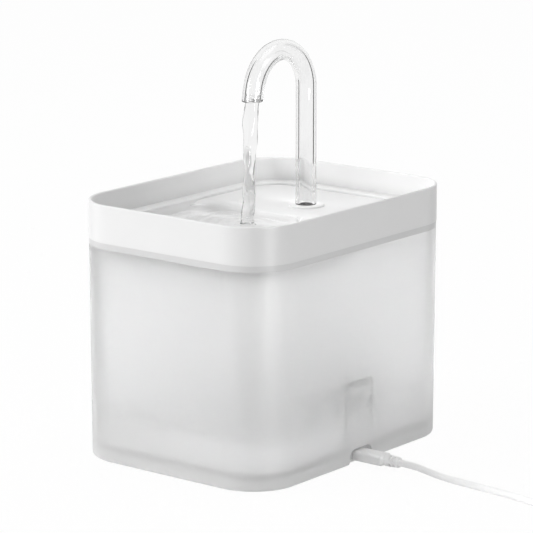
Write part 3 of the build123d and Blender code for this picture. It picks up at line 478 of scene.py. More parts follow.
@dataclass(frozen=True)
class TankPlastic(FrostedPlastic):
    """Frosted plastic with a grey band of painted shade at the rim, painted shade that darkens it towards
    the top and towards the foot, and a milky skirt at the foot.
    """

    rim_z: float = 123.0 * MM
    rim_soft: float = 0.4 * MM
    # tone of the grey band at the rim: painted shade of the tray's lip seen through the clear rim
    rim_shade: float = 0.74
    rim_clarity: float = 0.1
    # painted shadow of the bowl: the tank darkens towards the top under the rim
    shoulder_z: float = 110.0 * MM
    shoulder_soft: float = 26.0 * MM
    shoulder_shade: float = 0.98
    foot_z: float = 16.0 * MM
    foot_soft: float = 30.0 * MM
    # painted shade: tone that darkens the tank towards the floor
    foot_shade: float = 0.8
    skirt_clarity: float = 0.25
    floor_z: float = 11.0 * MM
    floor_soft: float = 2.0 * MM
    floor_clarity: float = 0.4
    floor_range: tuple[float, float] = (0.2, 0.8)
    gloss: float = 1.0
    gloss_roughness: float = 0.4

    def dress(self, graph: Graph) -> None:
        """Builds the nodes of the finish.

        Args:
            graph: Node tree to build in.
        """
        super().dress(graph)
        # painted shade: the clear band at the rim is darkened to stand for the tray's shaded lip behind it
        graph.tone(graph.above(self.rim_z, self.rim_soft, 1.0, self.rim_shade))
        # painted shadow of the bowl hanging in the tank, darker towards the top
        graph.tone(graph.above(self.shoulder_z, self.shoulder_soft, 1.0, self.shoulder_shade))
        # painted shade: darker towards the foot
        graph.tone(graph.above(self.foot_z, self.foot_soft, self.foot_shade, 1.0))
        clarity = graph.above(self.foot_z, self.foot_soft, self.skirt_clarity, self.clarity)
        floor = graph.times(graph.levelness(), graph.above(self.floor_z, self.floor_soft, 1.0, 0.0))
        level = graph.span(floor, 1.0, self.floor_clarity, *self.floor_range)
        band = graph.above(self.rim_z, self.rim_soft, 1.0, self.rim_clarity)
        graph.link(graph.times(graph.times(clarity, level), band),
                   graph.shader.inputs["Transmission Weight"])
        graph.fix(Coat_Weight=self.gloss, Coat_Roughness=self.gloss_roughness)


@dataclass(frozen=True)
class ClearPlastic(Finish):
    """Clear plastic or water, with slight waves in its skin and a little grey absorption; in the bowl's
    water it is painted shade on the bowl, and in the tube it is partly the plastic's own and partly painted
    shade of darker surroundings.
    """

    ior: float = 1.3
    haze: float = 0.02
    wave: float = 9 * MM
    wave_depth: float = 0.02 * MM
    wave_shade: float = 0.985
    haze_spot: float = 2.5 * MM
    density: float = 0.0
    absorbed_and_shade: Colour = (0.72, 0.72, 0.72)

    def dress(self, graph: Graph) -> None:
        """Builds the nodes of the finish.

        Args:
            graph: Node tree to build in.
        """
        broad = graph.cloud(self.wave, detail=2)
        graph.colour(graph.tint(graph.span(broad, 0, 1), scaled(self.colour, self.wave_shade), self.colour))
        graph.rough(graph.span(graph.cloud(self.haze_spot, detail=3), 0.5 * self.haze, 1.5 * self.haze))
        graph.bump(broad, self.wave_depth)
        graph.fix(IOR=self.ior, Transmission_Weight=1.0)
        if self.density > 0:
            # grey absorption; in the bowl's water and the tube it is also painted shade
            volume = graph.add("ShaderNodeVolumeAbsorption")
            volume.inputs["Color"].default_value = (*self.absorbed_and_shade, 1.0)
            volume.inputs["Density"].default_value = self.density
            graph.link(volume.outputs["Volume"], graph.output.inputs["Volume"])


@dataclass(frozen=True)
class Rubber(Finish):
    """Matt rubber or silicone with a dusty bloom."""

    roughness: float = 0.7
    clarity: float = 0.0
    bloom: float = 0.06
    bloom_spot: float = 5 * MM
    bloom_range: tuple[float, float] = (0.35, 0.75)
    grain: float = 0.25 * MM
    grain_depth: float = 0.01 * MM
    ior: float = 1.43

    def dress(self, graph: Graph) -> None:
        """Builds the nodes of the finish.

        Args:
            graph: Node tree to build in.
        """
        dust = graph.cloud(self.bloom_spot, detail=6)
        fine = graph.cloud(self.grain, detail=2)
        light = tuple(min(1.0, channel + self.bloom) for channel in self.colour)
        graph.colour(graph.tint(graph.span(dust, 0, 1, *self.bloom_range), self.colour, light))
        graph.rough(graph.span(dust, self.roughness - 0.08, self.roughness + 0.1))
        graph.bump(fine, self.grain_depth)
        graph.fix(IOR=self.ior, Transmission_Weight=self.clarity)


@dataclass(frozen=True)
class PlatedMetal(Finish):
    """Plated or drawn metal with fine streaks along one axis."""

    roughness: float = 0.3
    streaks: Triple = (0.08, 1.0, 1.0)
    streak_width: float = 0.25 * MM
    streak_depth: float = 0.01 * MM
    stain: float = 4 * MM
    stain_shade: float = 0.82
    plates: float = 0.0
    plate_depth: float = 0.08 * MM

    def dress(self, graph: Graph) -> None:
        """Builds the nodes of the finish.

        Args:
            graph: Node tree to build in.
        """
        streak = graph.cloud(self.streak_width, detail=3, stretch=self.streaks)
        stain = graph.cloud(self.stain, detail=4)
        graph.colour(graph.tint(graph.span(stain, 0, 1), scaled(self.colour, self.stain_shade), self.colour))
        graph.rough(graph.span(streak, self.roughness - 0.1, self.roughness + 0.12))
        graph.bump(streak, self.streak_depth)
        if self.plates > 0:
            graph.bump(graph.stripes(self.plates, "Y"), self.plate_depth)
        graph.fix(Metallic=1.0)


@dataclass(frozen=True)
class CopperWinding(Finish):
    """Enamelled wire wound in even turns across an axis."""

    wire: float = 0.45 * MM
    axis: str = "Z"
    groove_shade: float = 0.35
    lacquer_spot: float = 3 * MM

    def dress(self, graph: Graph) -> None:
        """Builds the nodes of the finish.

        Args:
            graph: Node tree to build in.
        """
        turns = graph.stripes(self.wire, self.axis, wobble=0.4)
        lacquer = graph.cloud(self.lacquer_spot, detail=4)
        graph.colour(graph.tint(turns, scaled(self.colour, self.groove_shade), self.colour))
        graph.rough(graph.span(lacquer, 0.22, 0.42))
        graph.bump(turns, 0.5 * self.wire)
        graph.fix(Metallic=0.85, Coat_Weight=0.6, Coat_Roughness=0.15)


@dataclass(frozen=True)
class CircuitBoard(Finish):
    """Solder mask over copper tracks and a ground plane."""

    track: Colour = (0.10, 0.33, 0.20)
    upright_pitch: float = 1.7 * MM
    across_pitch: float = 2.3 * MM
    mask_spot: float = 1.5 * MM
    track_height: float = 0.04 * MM

    def dress(self, graph: Graph) -> None:
        """Builds the nodes of the finish.

        Args:
            graph: Node tree to build in.
        """
        upright = graph.span(graph.stripes(self.upright_pitch, "Z", wobble=1.2), 0, 1, 0.62, 0.7)
        across = graph.span(graph.stripes(self.across_pitch, "Y", wobble=0.8), 0, 1, 0.7, 0.78)
        tracks = graph.span(graph.plus(upright, across), 0, 1, 0.0, 1.0)
        graph.colour(graph.tint(tracks, self.colour, self.track))
        graph.rough(graph.span(graph.cloud(self.mask_spot), 0.28, 0.42))
        graph.bump(tracks, self.track_height)
        graph.fix(IOR=1.55, Coat_Weight=0.3, Coat_Roughness=0.1)


@dataclass(frozen=True)
class OpenFoam(Finish):
    """Open cell foam: dark pores between pale struts."""

    pore: float = 1.1 * MM
    pore_depth: float = 0.5 * MM
    soil_spot: float = 4 * MM

    def dress(self, graph: Graph) -> None:
        """Builds the nodes of the finish.

        Args:
            graph: Node tree to build in.
        """
        edges = graph.cells(self.pore, "DISTANCE_TO_EDGE")
        struts = graph.span(edges, 1, 0, 0.02, 0.22)
        graph.colour(graph.tint(struts, scaled(self.colour, 0.25), scaled(self.colour, 1.6)))
        graph.rough(graph.span(graph.cloud(self.soil_spot), 0.75, 0.95))
        graph.bump(struts, self.pore_depth)


@dataclass(frozen=True)
class Fleece(Finish):
    """Needled fleece with the dark granules behind it showing through in places."""

    granule: Colour = (0.25, 0.25, 0.24)
    granule_size: float = 1.4 * MM
    bare_spot: float = 9 * MM
    fibre: float = 0.4 * MM
    fibre_stretch: Triple = (1, 1, 0.35)
    fibre_depth: float = 0.12 * MM

    def dress(self, graph: Graph) -> None:
        """Builds the nodes of the finish.

        Args:
            graph: Node tree to build in.
        """
        fibres = graph.cloud(self.fibre, detail=6, stretch=self.fibre_stretch)
        grains = graph.span(graph.cells(self.granule_size), 1, 0, 0.18, 0.4)
        seen = graph.times(grains, graph.span(graph.cloud(self.bare_spot), 0, 0.55, 0.45, 0.7))
        graph.colour(graph.tint(seen, self.colour, self.granule))
        graph.rough(graph.span(fibres, 0.8, 1.0))
        graph.bump(fibres, self.fibre_depth)
        graph.fix(Sheen_Weight=0.3, Sheen_Roughness=0.4)


@dataclass(frozen=True)
class SinteredBlock(Finish):
    """Ferrite, ceramic or moulded epoxy: a dense body with a sandy skin."""

    speck: Colour = (0.3, 0.3, 0.31)
    grain: float = 0.3 * MM
    grain_depth: float = 0.02 * MM

    def dress(self, graph: Graph) -> None:
        """Builds the nodes of the finish.

        Args:
            graph: Node tree to build in.
        """
        sand = graph.cloud(self.grain, detail=5)
        graph.colour(graph.tint(graph.span(sand, 0, 0.5, 0.5, 0.75), self.colour, self.speck))
        graph.rough(graph.span(sand, self.roughness - 0.1, self.roughness + 0.1))
        graph.bump(sand, self.grain_depth)
        graph.fix(IOR=1.6)


@dataclass(frozen=True)
class CordJacket(Finish):
    """Satin jacket of the power cord, with a fine skin and faint scuffs."""

    roughness: float = 0.42
    skin: float = 1.2 * MM
    skin_depth: float = 0.02 * MM
    scuff: float = 14 * MM
    scuff_shade: float = 0.94

    def dress(self, graph: Graph) -> None:
        """Builds the nodes of the finish.

        Args:
            graph: Node tree to build in.
        """
        skin = graph.cloud(self.skin, detail=4)
        scuffs = graph.cloud(self.scuff, detail=6)
        graph.colour(graph.tint(graph.span(scuffs, 0, 1, 0.35, 0.75),
                                scaled(self.colour, self.scuff_shade), self.colour))
        graph.rough(graph.span(graph.plus(skin, scuffs), self.roughness - 0.08,
                               self.roughness + 0.1, *TWO_CLOUDS))
        graph.bump(skin, self.skin_depth)
        graph.fix(IOR=1.47, Coat_Weight=0.1, Coat_Roughness=0.3)


@dataclass(frozen=True)
class StrapWeave(Finish):
    """Woven strap: ribs across its width with a cover of short loops."""

    rib: float = 0.8 * MM
    loop: float = 0.35 * MM
    weave_depth: float = 0.25 * MM

    def dress(self, graph: Graph) -> None:
        """Builds the nodes of the finish.

        Args:
            graph: Node tree to build in.
        """
        warp = graph.stripes(self.rib, "X")
        weft = graph.stripes(self.rib, "DIAGONAL")
        loops = graph.cells(self.loop)
        weave = graph.plus(graph.times(warp, weft), graph.span(loops, 0, 0.6, 0.1, 0.6))
        graph.colour(graph.tint(graph.span(weave, 0, 1, 0.1, 1.1), scaled(self.colour, 0.62), self.colour))
        graph.rough(graph.span(loops, 0.75, 0.95))
        graph.bump(weave, self.weave_depth)
        graph.fix(Sheen_Weight=0.25, Sheen_Roughness=0.5)


TRAY_WHITE = TrayPlastic("tray_white", grey(0.79), roughness=0.36)
COLLAR_WHITE = MouldedPlastic("collar_white", grey(0.82), roughness=0.34)
COVER_WHITE = MouldedPlastic("cover_white", grey(0.9), roughness=0.5, grain_depth=0.03 * MM)
TANK_FROST = TankPlastic("tank_frost", grey(0.935), clarity=0.92, ior=1.3, roughness=0.9)
BOX_CLEAR = FrostedPlastic("box_clear", grey(0.88), roughness=0.25, clarity=0.9, ior=1.2)
# absorption of the tube: partly the plastic's own, partly painted shade of darker surroundings seen through
# it
TUBE_CLEAR = ClearPlastic("tube_clear", grey(0.98), ior=1.49, haze=0.0, density=45.0)
INSERT_CLEAR = ClearPlastic("insert_clear", grey(0.97), ior=1.4, haze=0.05, density=8.0)
STREAM_WATER = ClearPlastic("stream_water", grey(0.98), ior=1.33, haze=0.0, wave=8 * MM,
                            wave_depth=0.03 * MM, density=40.0)
# absorption of the bowl's water: painted shade on the bowl's floor and walls
BOWL_WATER = ClearPlastic("bowl_water", grey(0.98), ior=1.33, haze=0.0, wave=7 * MM,
                          wave_depth=0.05 * MM, density=30.0)
FOOT_RUBBER = Rubber("foot_rubber_grey", grey(0.5))
GASKET_SILICONE = Rubber("gasket_silicone_grey", grey(0.62), roughness=0.6)
SEAL_SILICONE = Rubber("seal_silicone_grey", grey(0.6), roughness=0.55)
# near-black silicone: painted shade of the collar's bore, seen through the clear tube
PAINTED_SHADE_SILICONE = Rubber("sleeve_silicone_dark", grey(0.06), bloom=0.03)
HOSE_SILICONE = Rubber("hose_silicone_milky", grey(0.8), roughness=0.4, clarity=0.45, bloom=0.02)
LEAD_BLACK = Rubber("lead_black_flat", grey(0.03), roughness=0.5, bloom=0.02)
CASE_DARK = MouldedPlastic("case_dark", grey(0.2), roughness=0.5, mottle=0.1)
PUMP_GREY = MouldedPlastic("pump_grey_shell", grey(0.5), roughness=0.45, mottle=0.1)
SHUTTER_WHITE = MouldedPlastic("shutter_white_smooth", grey(0.75), roughness=0.3)
IMPELLER_WHITE = MouldedPlastic("impeller_white_smooth", grey(0.78), roughness=0.35)
CHIP_EPOXY = SinteredBlock("chip_epoxy", grey(0.03), speck=grey(0.12))
FERRITE = SinteredBlock("ferrite_dark", grey(0.09), speck=grey(0.25))
CERAMIC = SinteredBlock("ceramic_shaft", grey(0.85), roughness=0.25, speck=grey(0.95))
SCREW_ZINC = PlatedMetal("screw_zinc", grey(0.62, -0.02), streaks=(1.0, 1.0, 1.0))
SOCKET_NICKEL = PlatedMetal("socket_nickel", grey(0.72, 0.01), roughness=0.22)
CORE_STEEL = PlatedMetal("core_laminations", grey(0.45), roughness=0.4, plates=0.5 * MM)
COIL_COPPER = CopperWinding("coil_copper", (0.72, 0.33, 0.14), axis="X")
YOKE_COPPER = CopperWinding("yoke_copper", (0.72, 0.33, 0.14), axis="Z")
COIL_POTTING = SinteredBlock("coil_potting", grey(0.8), speck=grey(0.9))
BOARD_GREEN = CircuitBoard("board_green_mask", (0.03, 0.15, 0.08))
FOAM_GREY = OpenFoam("foam_grey", grey(0.6))
FLEECE_WHITE = Fleece("fleece_white", grey(0.82, 0.01))
PLUG_SATIN = MouldedPlastic("plug_satin", grey(0.84), roughness=0.45, grain_depth=0.025 * MM)
CORD_SATIN = CordJacket("cord_satin", grey(0.93))
STRAP_GREY = StrapWeave("strap_grey", grey(0.6))


# ------------------------------------------------------------------ mesh helpers


def make_object(name: str, points: Sequence[Vector], faces: Sequence[Face],
                material: bpy.types.Material) -> bpy.types.Object:
    """Makes a mesh object in the scene.

    Args:
        name: Name of the object.
        points: Corners of the mesh.
        faces: Faces by the indexes of their corners.
        material: Material of all faces.

    Returns:
        The new object.
    """
    mesh = bpy.data.meshes.new(name)
    mesh.from_pydata([tuple(p) for p in points], [], faces)
    mesh.validate()
    mesh.update()
    mesh.materials.append(material)
    made = bpy.data.objects.new(name, mesh)
    bpy.context.scene.collection.objects.link(made)
    REPORT.info("mesh %s: %d corners", name, len(points))
    return made


def make_piece(name: str, points: Sequence[Vector], faces: Sequence[Face], finish: Finish,
               body: Body) -> bpy.types.Object:
    """Makes a smooth mesh piece of the object that rides on a body.

    Args:
        name: Name of the piece.
        points: Corners of the mesh.
        faces: Faces by the indexes of their corners.
        finish: Finish of the piece.
        body: Body that it rides on.

    Returns:
        The new object.
    """
    piece = make_object(name, points, faces, finish.material())
    polygons = piece.data.polygons
    polygons.foreach_set("use_smooth", [True] * len(polygons))
    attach(piece, body.value)
    return piece


def flipped(faces: Sequence[Face]) -> list[Face]:
    """Faces that look the other way."""
    return [tuple(reversed(face)) for face in faces]


def bridge(rings: int, sides: int, closed: bool = False, start: int = 0) -> list[Face]:
    """Quads between rings of equal size that follow one another.

    Args:
        rings: Number of rings.
        sides: Corners in a ring.
        closed: Whether the last ring joins the first one.
        start: Index of the first ring's first corner.

    Returns:
        The quads.
    """
    faces = []
    for i in range(rings if closed else rings - 1):
        low = start + i * sides
        high = start + (i + 1) % rings * sides
        for j in range(sides):
            k = (j + 1) % sides
            faces.append((low + j, low + k, high + k, high + j))
    return faces


def dress_nodes(finishes: dict[str, Finish]) -> None:
    """Gives nodes of the frame their finishes.

    Args:
        finishes: Finish of each node, by the node's name.
    """
    for name, finish in finishes.items():
        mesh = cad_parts[name].data
        mesh.materials.clear()
        mesh.materials.append(finish.material())
        REPORT.info("node %s has finish %s", name, finish.name)


def rounded_outline(half_x: float, low_y: float, high_y: float, corner: float,
                    steps: int = 10, along: int = 24) -> list[tuple[float, float]]:
    """Points round a rectangle with rounded corners, centred on x = 0.

    Args:
        half_x: Half width.
        low_y: Front edge.
        high_y: Back edge.
        corner: Radius of the corners.
        steps: Parts that each corner is divided into.
        along: Parts that each straight side is divided into.

    Returns:
        Points in order, counter-clockwise from the right end of the front edge's corner.
    """
    centres = [(half_x - corner, low_y + corner, -90), (half_x - corner, high_y - corner, 0),
               (corner - half_x, high_y - corner, 90), (corner - half_x, low_y + corner, 180)]
    points: list[tuple[float, float]] = []
    for index, (x, y, first) in enumerate(centres):
        arc = []
        for step in range(steps + 1):
            angle = math.radians(first + 90 * step / steps)
            arc.append((x + corner * math.cos(angle), y + corner * math.sin(angle)))
        points.extend(arc)
        next_x, next_y, next_first = centres[(index + 1) % 4]
        angle = math.radians(next_first)
        end = (next_x + corner * math.cos(angle), next_y + corner * math.sin(angle))
        for step in range(1, along):
            share = step / along
            points.append((arc[-1][0] + (end[0] - arc[-1][0]) * share,
                           arc[-1][1] + (end[1] - arc[-1][1]) * share))
    return points


# ------------------------------------------------------------------ studio


@dataclass(frozen=True)
class SoftLamp:
    """Rectangular soft lamp that faces the object."""

    name: str
    place: Triple
    width: float
    height: float
    power: float
    mirrored: bool = False
    aim: Triple = (0.0, 0.0, 0.1)

    def build(self) -> None:
        """Makes the lamp; one that is mirrored shows in gloss and lights nothing else."""
        data = bpy.data.lights.new(self.name, "AREA")
        data.shape = "RECTANGLE"
        data.size = self.width
        data.size_y = self.height
        data.energy = self.power
        lamp = bpy.data.objects.new(self.name, data)
        lamp.location = self.place
        towards = Vector(self.aim) - Vector(self.place)
        lamp.rotation_mode = "QUATERNION"
        lamp.rotation_quaternion = towards.to_track_quat("-Z", "Y")
        lamp.visible_glossy = self.mirrored
        lamp.visible_diffuse = not self.mirrored
        lamp.visible_transmission = not self.mirrored
        bpy.context.scene.collection.objects.link(lamp)
        REPORT.info("lamp %s: %.1f W", self.name, self.power)


def clear_rays(tree: bpy.types.NodeTree) -> Socket:
    """1 for camera, mirror and glass rays and 0 for light that falls on matt surfaces.

    Args:
        tree: Node tree to build in.

    Returns:
        The value.
    """
    path = tree.nodes.new("ShaderNodeLightPath")
    total = path.outputs["Is Camera Ray"]
    for name in ("Is Glossy Ray", "Is Transmission Ray"):
        node = tree.nodes.new("ShaderNodeMath")
        tree.links.new(total, node.inputs[0])
        tree.links.new(path.outputs[name], node.inputs[1])
        total = node.outputs["Value"]
    return total


@dataclass
class Studio:
    """Camera, soft lamps, pale floor and white surroundings."""

    camera_place: Triple = (1.020345, -1.286628, 0.475996)
    camera_azimuth: float = 38.384
    camera_elevation: float = 12.778
    sensor: float = 36.0
    focal_pixels: float = 2959.578
    frame_pixels: float = 533.0
    ambient: float = 0.52
    lamps: tuple[SoftLamp, ...] = (
        SoftLamp("key_lamp", (-1.415, -1.572, 0.706), 0.8, 0.8, 27.0),
        SoftLamp("top_lamp", (0.1, 0.2, 1.9), 1.4, 1.4, 12.5),
        SoftLamp("edge_lamp", (1.04, -0.36, 0.3), 0.35, 0.9, 20.0, mirrored=True),
    )
    floor_half: float = 6.0
    floor_greys: tuple[float, float] = (0.84, 0.86)
    floor_spot: float = 0.4
    floor_grain: float = 0.05
    floor_clear: float = 0.96
    flag_azimuths: tuple[float, ...] = (163.0, 273.0)
    flag_reach: float = 0.5
    flag_width: float = 0.17
    flag_height: float = 0.6
    flag_greys: tuple[float, float] = (0.02, 0.03)
    flag_spot: float = 0.3
    flag_grain: float = 0.1

    def build_camera(self) -> None:
        """Makes the camera and sets it as the scene's camera."""
        data = bpy.data.cameras.new("camera")
        data.sensor_width = self.sensor
        data.lens = self.focal_pixels * self.sensor / self.frame_pixels
        camera = bpy.data.objects.new("camera", data)
        camera.location = self.camera_place
        across, up = math.radians(self.camera_azimuth), math.radians(self.camera_elevation)
        back = Vector((math.sin(across) * math.cos(up), -math.cos(across) * math.cos(up), math.sin(up)))
        camera.rotation_mode = "QUATERNION"
        camera.rotation_quaternion = (-back).to_track_quat("-Z", "Y")
        bpy.context.scene.collection.objects.link(camera)
        bpy.context.scene.camera = camera
        REPORT.info("camera: %.0f mm lens", data.lens)

    def build_floor(self) -> None:
        """Makes the pale floor, which keeps a faint shadow of the object."""
        graph = Graph("studio_floor")
        tone = graph.span(graph.cloud(self.floor_spot, detail=2), 0.0, 1.0)
        graph.colour(graph.tint(tone, *(grey(level) for level in self.floor_greys)))
        graph.rough(graph.span(graph.cloud(self.floor_grain, detail=3), 0.6, 0.7))
        white = graph.add("ShaderNodeEmission")
        mix = graph.add("ShaderNodeMixShader")
        graph.link(graph.span(clear_rays(graph.tree), 0.0, self.floor_clear, 0.0, 1.0),
                   mix.inputs["Fac"])
        graph.link(graph.shader.outputs["BSDF"], mix.inputs[1])
        graph.link(white.outputs["Emission"], mix.inputs[2])
        graph.link(mix.outputs["Shader"], graph.output.inputs["Surface"])
        signs = ((-1, -1), (1, -1), (1, 1), (-1, 1))
        corners = [Vector((x, y, 0)) * self.floor_half for x, y in signs]
        make_object("studio_floor", corners, [(0, 1, 2, 3)], graph.material)

    def build_flags(self) -> None:
        """Makes narrow dark cards that only mirror and glass rays meet, for edges in clear parts."""
        graph = Graph("studio_flag")
        tone = graph.span(graph.cloud(self.flag_spot, detail=1), 0.0, 1.0)
        graph.colour(graph.tint(tone, *(grey(level) for level in self.flag_greys)))
        graph.rough(graph.span(graph.cloud(self.flag_grain, detail=1), 0.8, 0.9))
        for index, azimuth in enumerate(self.flag_azimuths):
            turn = math.radians(azimuth)
            out = Vector((math.sin(turn), -math.cos(turn), 0.0))
            side = Vector((out.y, -out.x, 0.0)) * (self.flag_width / 2)
            foot = out * self.flag_reach
            rise = Vector((0.0, 0.0, self.flag_height))
            corners = [foot - side, foot + side, foot + side + rise, foot - side + rise]
            flag = make_object(f"studio_flag_{index}", corners, [(0, 1, 2, 3)], graph.material)
            flag.visible_camera = False
            flag.visible_diffuse = False
            flag.visible_shadow = False

    def build_world(self) -> None:
        """White surroundings for camera, mirror and glass rays, softer for matt surfaces."""
        world = bpy.data.worlds.new("studio_world")
        bpy.context.scene.world = world
        world.use_nodes = True
        tree = world.node_tree
        background = tree.nodes["Background"]
        level = tree.nodes.new("ShaderNodeMapRange")
        level.inputs["To Min"].default_value = self.ambient
        level.inputs["To Max"].default_value = 1.0
        tree.links.new(clear_rays(tree), level.inputs["Value"])
        tree.links.new(level.outputs["Result"], background.inputs["Strength"])
        background.inputs["Color"].default_value = WHITE

    def build(self) -> None:
        """Makes the whole studio."""
        self.build_camera()
        self.build_world()
        for lamp in self.lamps:
            lamp.build()
        self.build_floor()
        self.build_flags()
        bpy.context.scene.view_settings.view_transform = "Standard"


# ------------------------------------------------------------------ tank and inner parts


@dataclass
class Tank:
    """Frosted tank with the parts that stay in its underside and its dry pod."""

    def build(self) -> None:
        """Dresses the tank, its cover and the drive electronics."""
        dress_nodes({
            "water_tank": TANK_FROST, "bottom_cover": COVER_WHITE, "cover_screws": SCREW_ZINC,
            "rubber_feet": FOOT_RUBBER, "drive_case": CASE_DARK, "drive_board": BOARD_GREEN,
            "board_parts": CHIP_EPOXY, "power_socket": SOCKET_NICKEL,
            "socket_gasket": GASKET_SILICONE, "drive_coil": COIL_COPPER, "drive_ferrite": FERRITE,
            "coil_lead": LEAD_BLACK,
        })


@dataclass
class PumpBox:
    """Filter box with its media, and the pump in it."""

    def build(self) -> None:
        """Dresses the filter box, the filters and the pump."""
        dress_nodes({
            "filter_box": BOX_CLEAR, "box_pads": FOOT_RUBBER, "filter_lid": BOX_CLEAR,
            "foam_sponge": FOAM_GREY, "carbon_filter": FLEECE_WHITE, "pump_housing": PUMP_GREY,
            "pump_back_cover": PUMP_GREY, "volute_cover": PUMP_GREY, "flow_adjuster": SHUTTER_WHITE,
            "impeller": IMPELLER_WHITE, "rotor_magnet": FERRITE, "rotor_shaft": CERAMIC,
            "shaft_bushes": FOOT_RUBBER, "stator_core": CORE_STEEL, "stator_winding": YOKE_COPPER,
            "driver_board": BOARD_GREEN, "pickup_coil": COIL_POTTING, "outlet_hose": HOSE_SILICONE,
        })


# ------------------------------------------------------------------ tray and its water


@dataclass
class Tray:
    """White tray and the water that stands in its bowl."""

    ledge_inset: float = 10.5 * MM
    deck_depth: float = 15.1 * MM
    bowl_back_y: float = 20.0 * MM
    back_slope: float = 52.0
    side_draft: float = 10.0
    top_corner: float = 18.5 * MM
    floor_corner: float = 12.0 * MM
    bowl_depth: float = 16.9 * MM
    floor_round: float = 8.0 * MM
    water_drop: float = 1.7 * MM
    water_bury: float = 0.3 * MM
    landing: tuple[float, float] = (0.0, -15.4 * MM)
    stream_foot: float = 3.6 * MM
    ripple_pitch: float = 6.5 * MM
    ripple_height: float = 0.35 * MM
    ripple_reach: float = 26.0 * MM
    ripple_stretch: float = 1.08
    wobble: float = 1.6
    wobble_size: float = 9.0 * MM
    wobble_start: float = 8.0 * MM
    chop: float = 0.35
    chop_size: float = 7.0 * MM
    surface_rings: int = 120
    ring_growth: float = 1.15
    calm_edge: float = 0.1
    wall_rings: int = 14
    wall_sink: float = 0.1 * MM
    lip_reaches: tuple[float, float] = (0.005 * MM, 0.03 * MM)
    lip_drop: float = 0.1 * MM
    lip_sides: int = 96

    def outline(self, drop: float) -> list[tuple[float, float]]:
        """Outline of the bowl's wall at a drop under the deck, a little inside the wall.

        Args:
            drop: Distance under the deck.

        Returns:
            Points round the bowl.
        """
        low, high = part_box("bowl_tray")
        into_floor = max(0.0, drop - (self.bowl_depth - self.floor_round))
        rounding = self.floor_round - math.sqrt(max(0.0, self.floor_round**2 - into_floor**2))
        inward = drop * math.tan(math.radians(self.side_draft)) + rounding - self.water_bury
        forward = drop / math.tan(math.radians(self.back_slope)) + rounding - self.water_bury
        corner = self.top_corner + (self.floor_corner - self.top_corner) * drop / self.bowl_depth
        return rounded_outline(high.x - self.ledge_inset - inward,
                               low.y + self.ledge_inset + inward, self.bowl_back_y - forward,
                               corner - rounding * 0.5)

    def surface_height(self, x: float, y: float) -> float:
        """Height of the water over its level, from the rings and the restless surface.

        Args:
            x: Place along X.
            y: Place along Y.

        Returns:
            The height.
        """
        away = math.hypot(x - self.landing[0], (y - self.landing[1]) * self.ripple_stretch)
        bend = noise.noise(Vector((x, y, 0.0)) / self.wobble_size) * min(1.0, away / self.wobble_start)
        turns = (away - self.stream_foot) / self.ripple_pitch
        rings = math.cos(2 * math.pi * turns + self.wobble * bend) * math.exp(-away / self.ripple_reach)
        chop = self.chop * noise.fractal(Vector((x, y, 1.0)) / self.chop_size, 1.0, 2.0, 3)
        return self.ripple_height * (rings + chop * math.exp(-away / (2 * self.ripple_reach)))

    def build_water(self) -> None:
        """Makes the water in the bowl, with rings round the place where the stream lands."""
        deck_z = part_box("bowl_tray")[1].z - self.deck_depth
        level = deck_z - self.water_drop
        rim = self.outline(self.water_drop)
        sides = len(rim)
        points = []
        for ring in range(1, self.surface_rings + 1):
            share = (ring / self.surface_rings) ** self.ring_growth
            for x, y in rim:
                here_x = self.landing[0] + (x - self.landing[0]) * share
                here_y = self.landing[1] + (y - self.landing[1]) * share
                calm = min(1.0, (1.0 - share) / self.calm_edge)
                rise = calm * self.surface_height(here_x, here_y)
                points.append(Vector((here_x, here_y, level + rise)))
        wall_z = deck_z - self.wall_sink
        for step in range(1, self.wall_rings + 1):
            drop = self.water_drop + step * (self.bowl_depth - self.water_drop) / self.wall_rings
            points.extend(Vector((x, y, wall_z - drop)) for x, y in self.outline(drop))
        rings = self.surface_rings + self.wall_rings
        faces = bridge(rings, sides)
        top = len(points)
        points.append(Vector((*self.landing, level)))
        faces.extend((top, (j + 1) % sides, j) for j in range(sides))
        bottom = len(points)
        points.append(Vector((0.0, self.landing[1], wall_z - self.bowl_depth)))
        last = (rings - 1) * sides
        faces.extend((bottom, last + j, last + (j + 1) % sides) for j in range(sides))
        water = make_piece("bowl_water", points, flipped(faces), BOWL_WATER, Body.TRAY)
        water.visible_shadow = False

    def build_painted_shade_lip(self) -> None:
        """Makes the sleeve's thin dark lip between the tube's foot and the collar's flange; its near-black
        tone is painted shade of the collar's bore.
        """
        low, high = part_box("faucet_tube")
        radius = (high.x - low.x) / 2
        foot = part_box("tube_sleeve")[1].z
        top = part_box("faucet_collar")[1].z - self.lip_drop
        inner, outer = (radius + reach for reach in self.lip_reaches)
        points = []
        for reach, z in ((inner, foot), (outer, foot), (outer, top), (inner, top)):
            for index in range(self.lip_sides):
                angle = 2 * math.pi * index / self.lip_sides
                points.append(Vector((reach * math.cos(angle),
                                      high.y - radius + reach * math.sin(angle), z)))
        faces = bridge(4, self.lip_sides, closed=True)
        make_piece("sleeve_shade_lip", points, faces, PAINTED_SHADE_SILICONE, Body.FAUCET)

    def build(self) -> None:
        """Dresses the tray and the collar and fills the bowl."""
        # the tube's sleeve gets the near-black finish, painted shade of the collar's bore
        dress_nodes({"bowl_tray": TRAY_WHITE, "faucet_collar": COLLAR_WHITE,
                     "collar_seal": SEAL_SILICONE, "tube_sleeve": PAINTED_SHADE_SILICONE})
        self.build_water()
        self.build_painted_shade_lip()


# ------------------------------------------------------------------ faucet


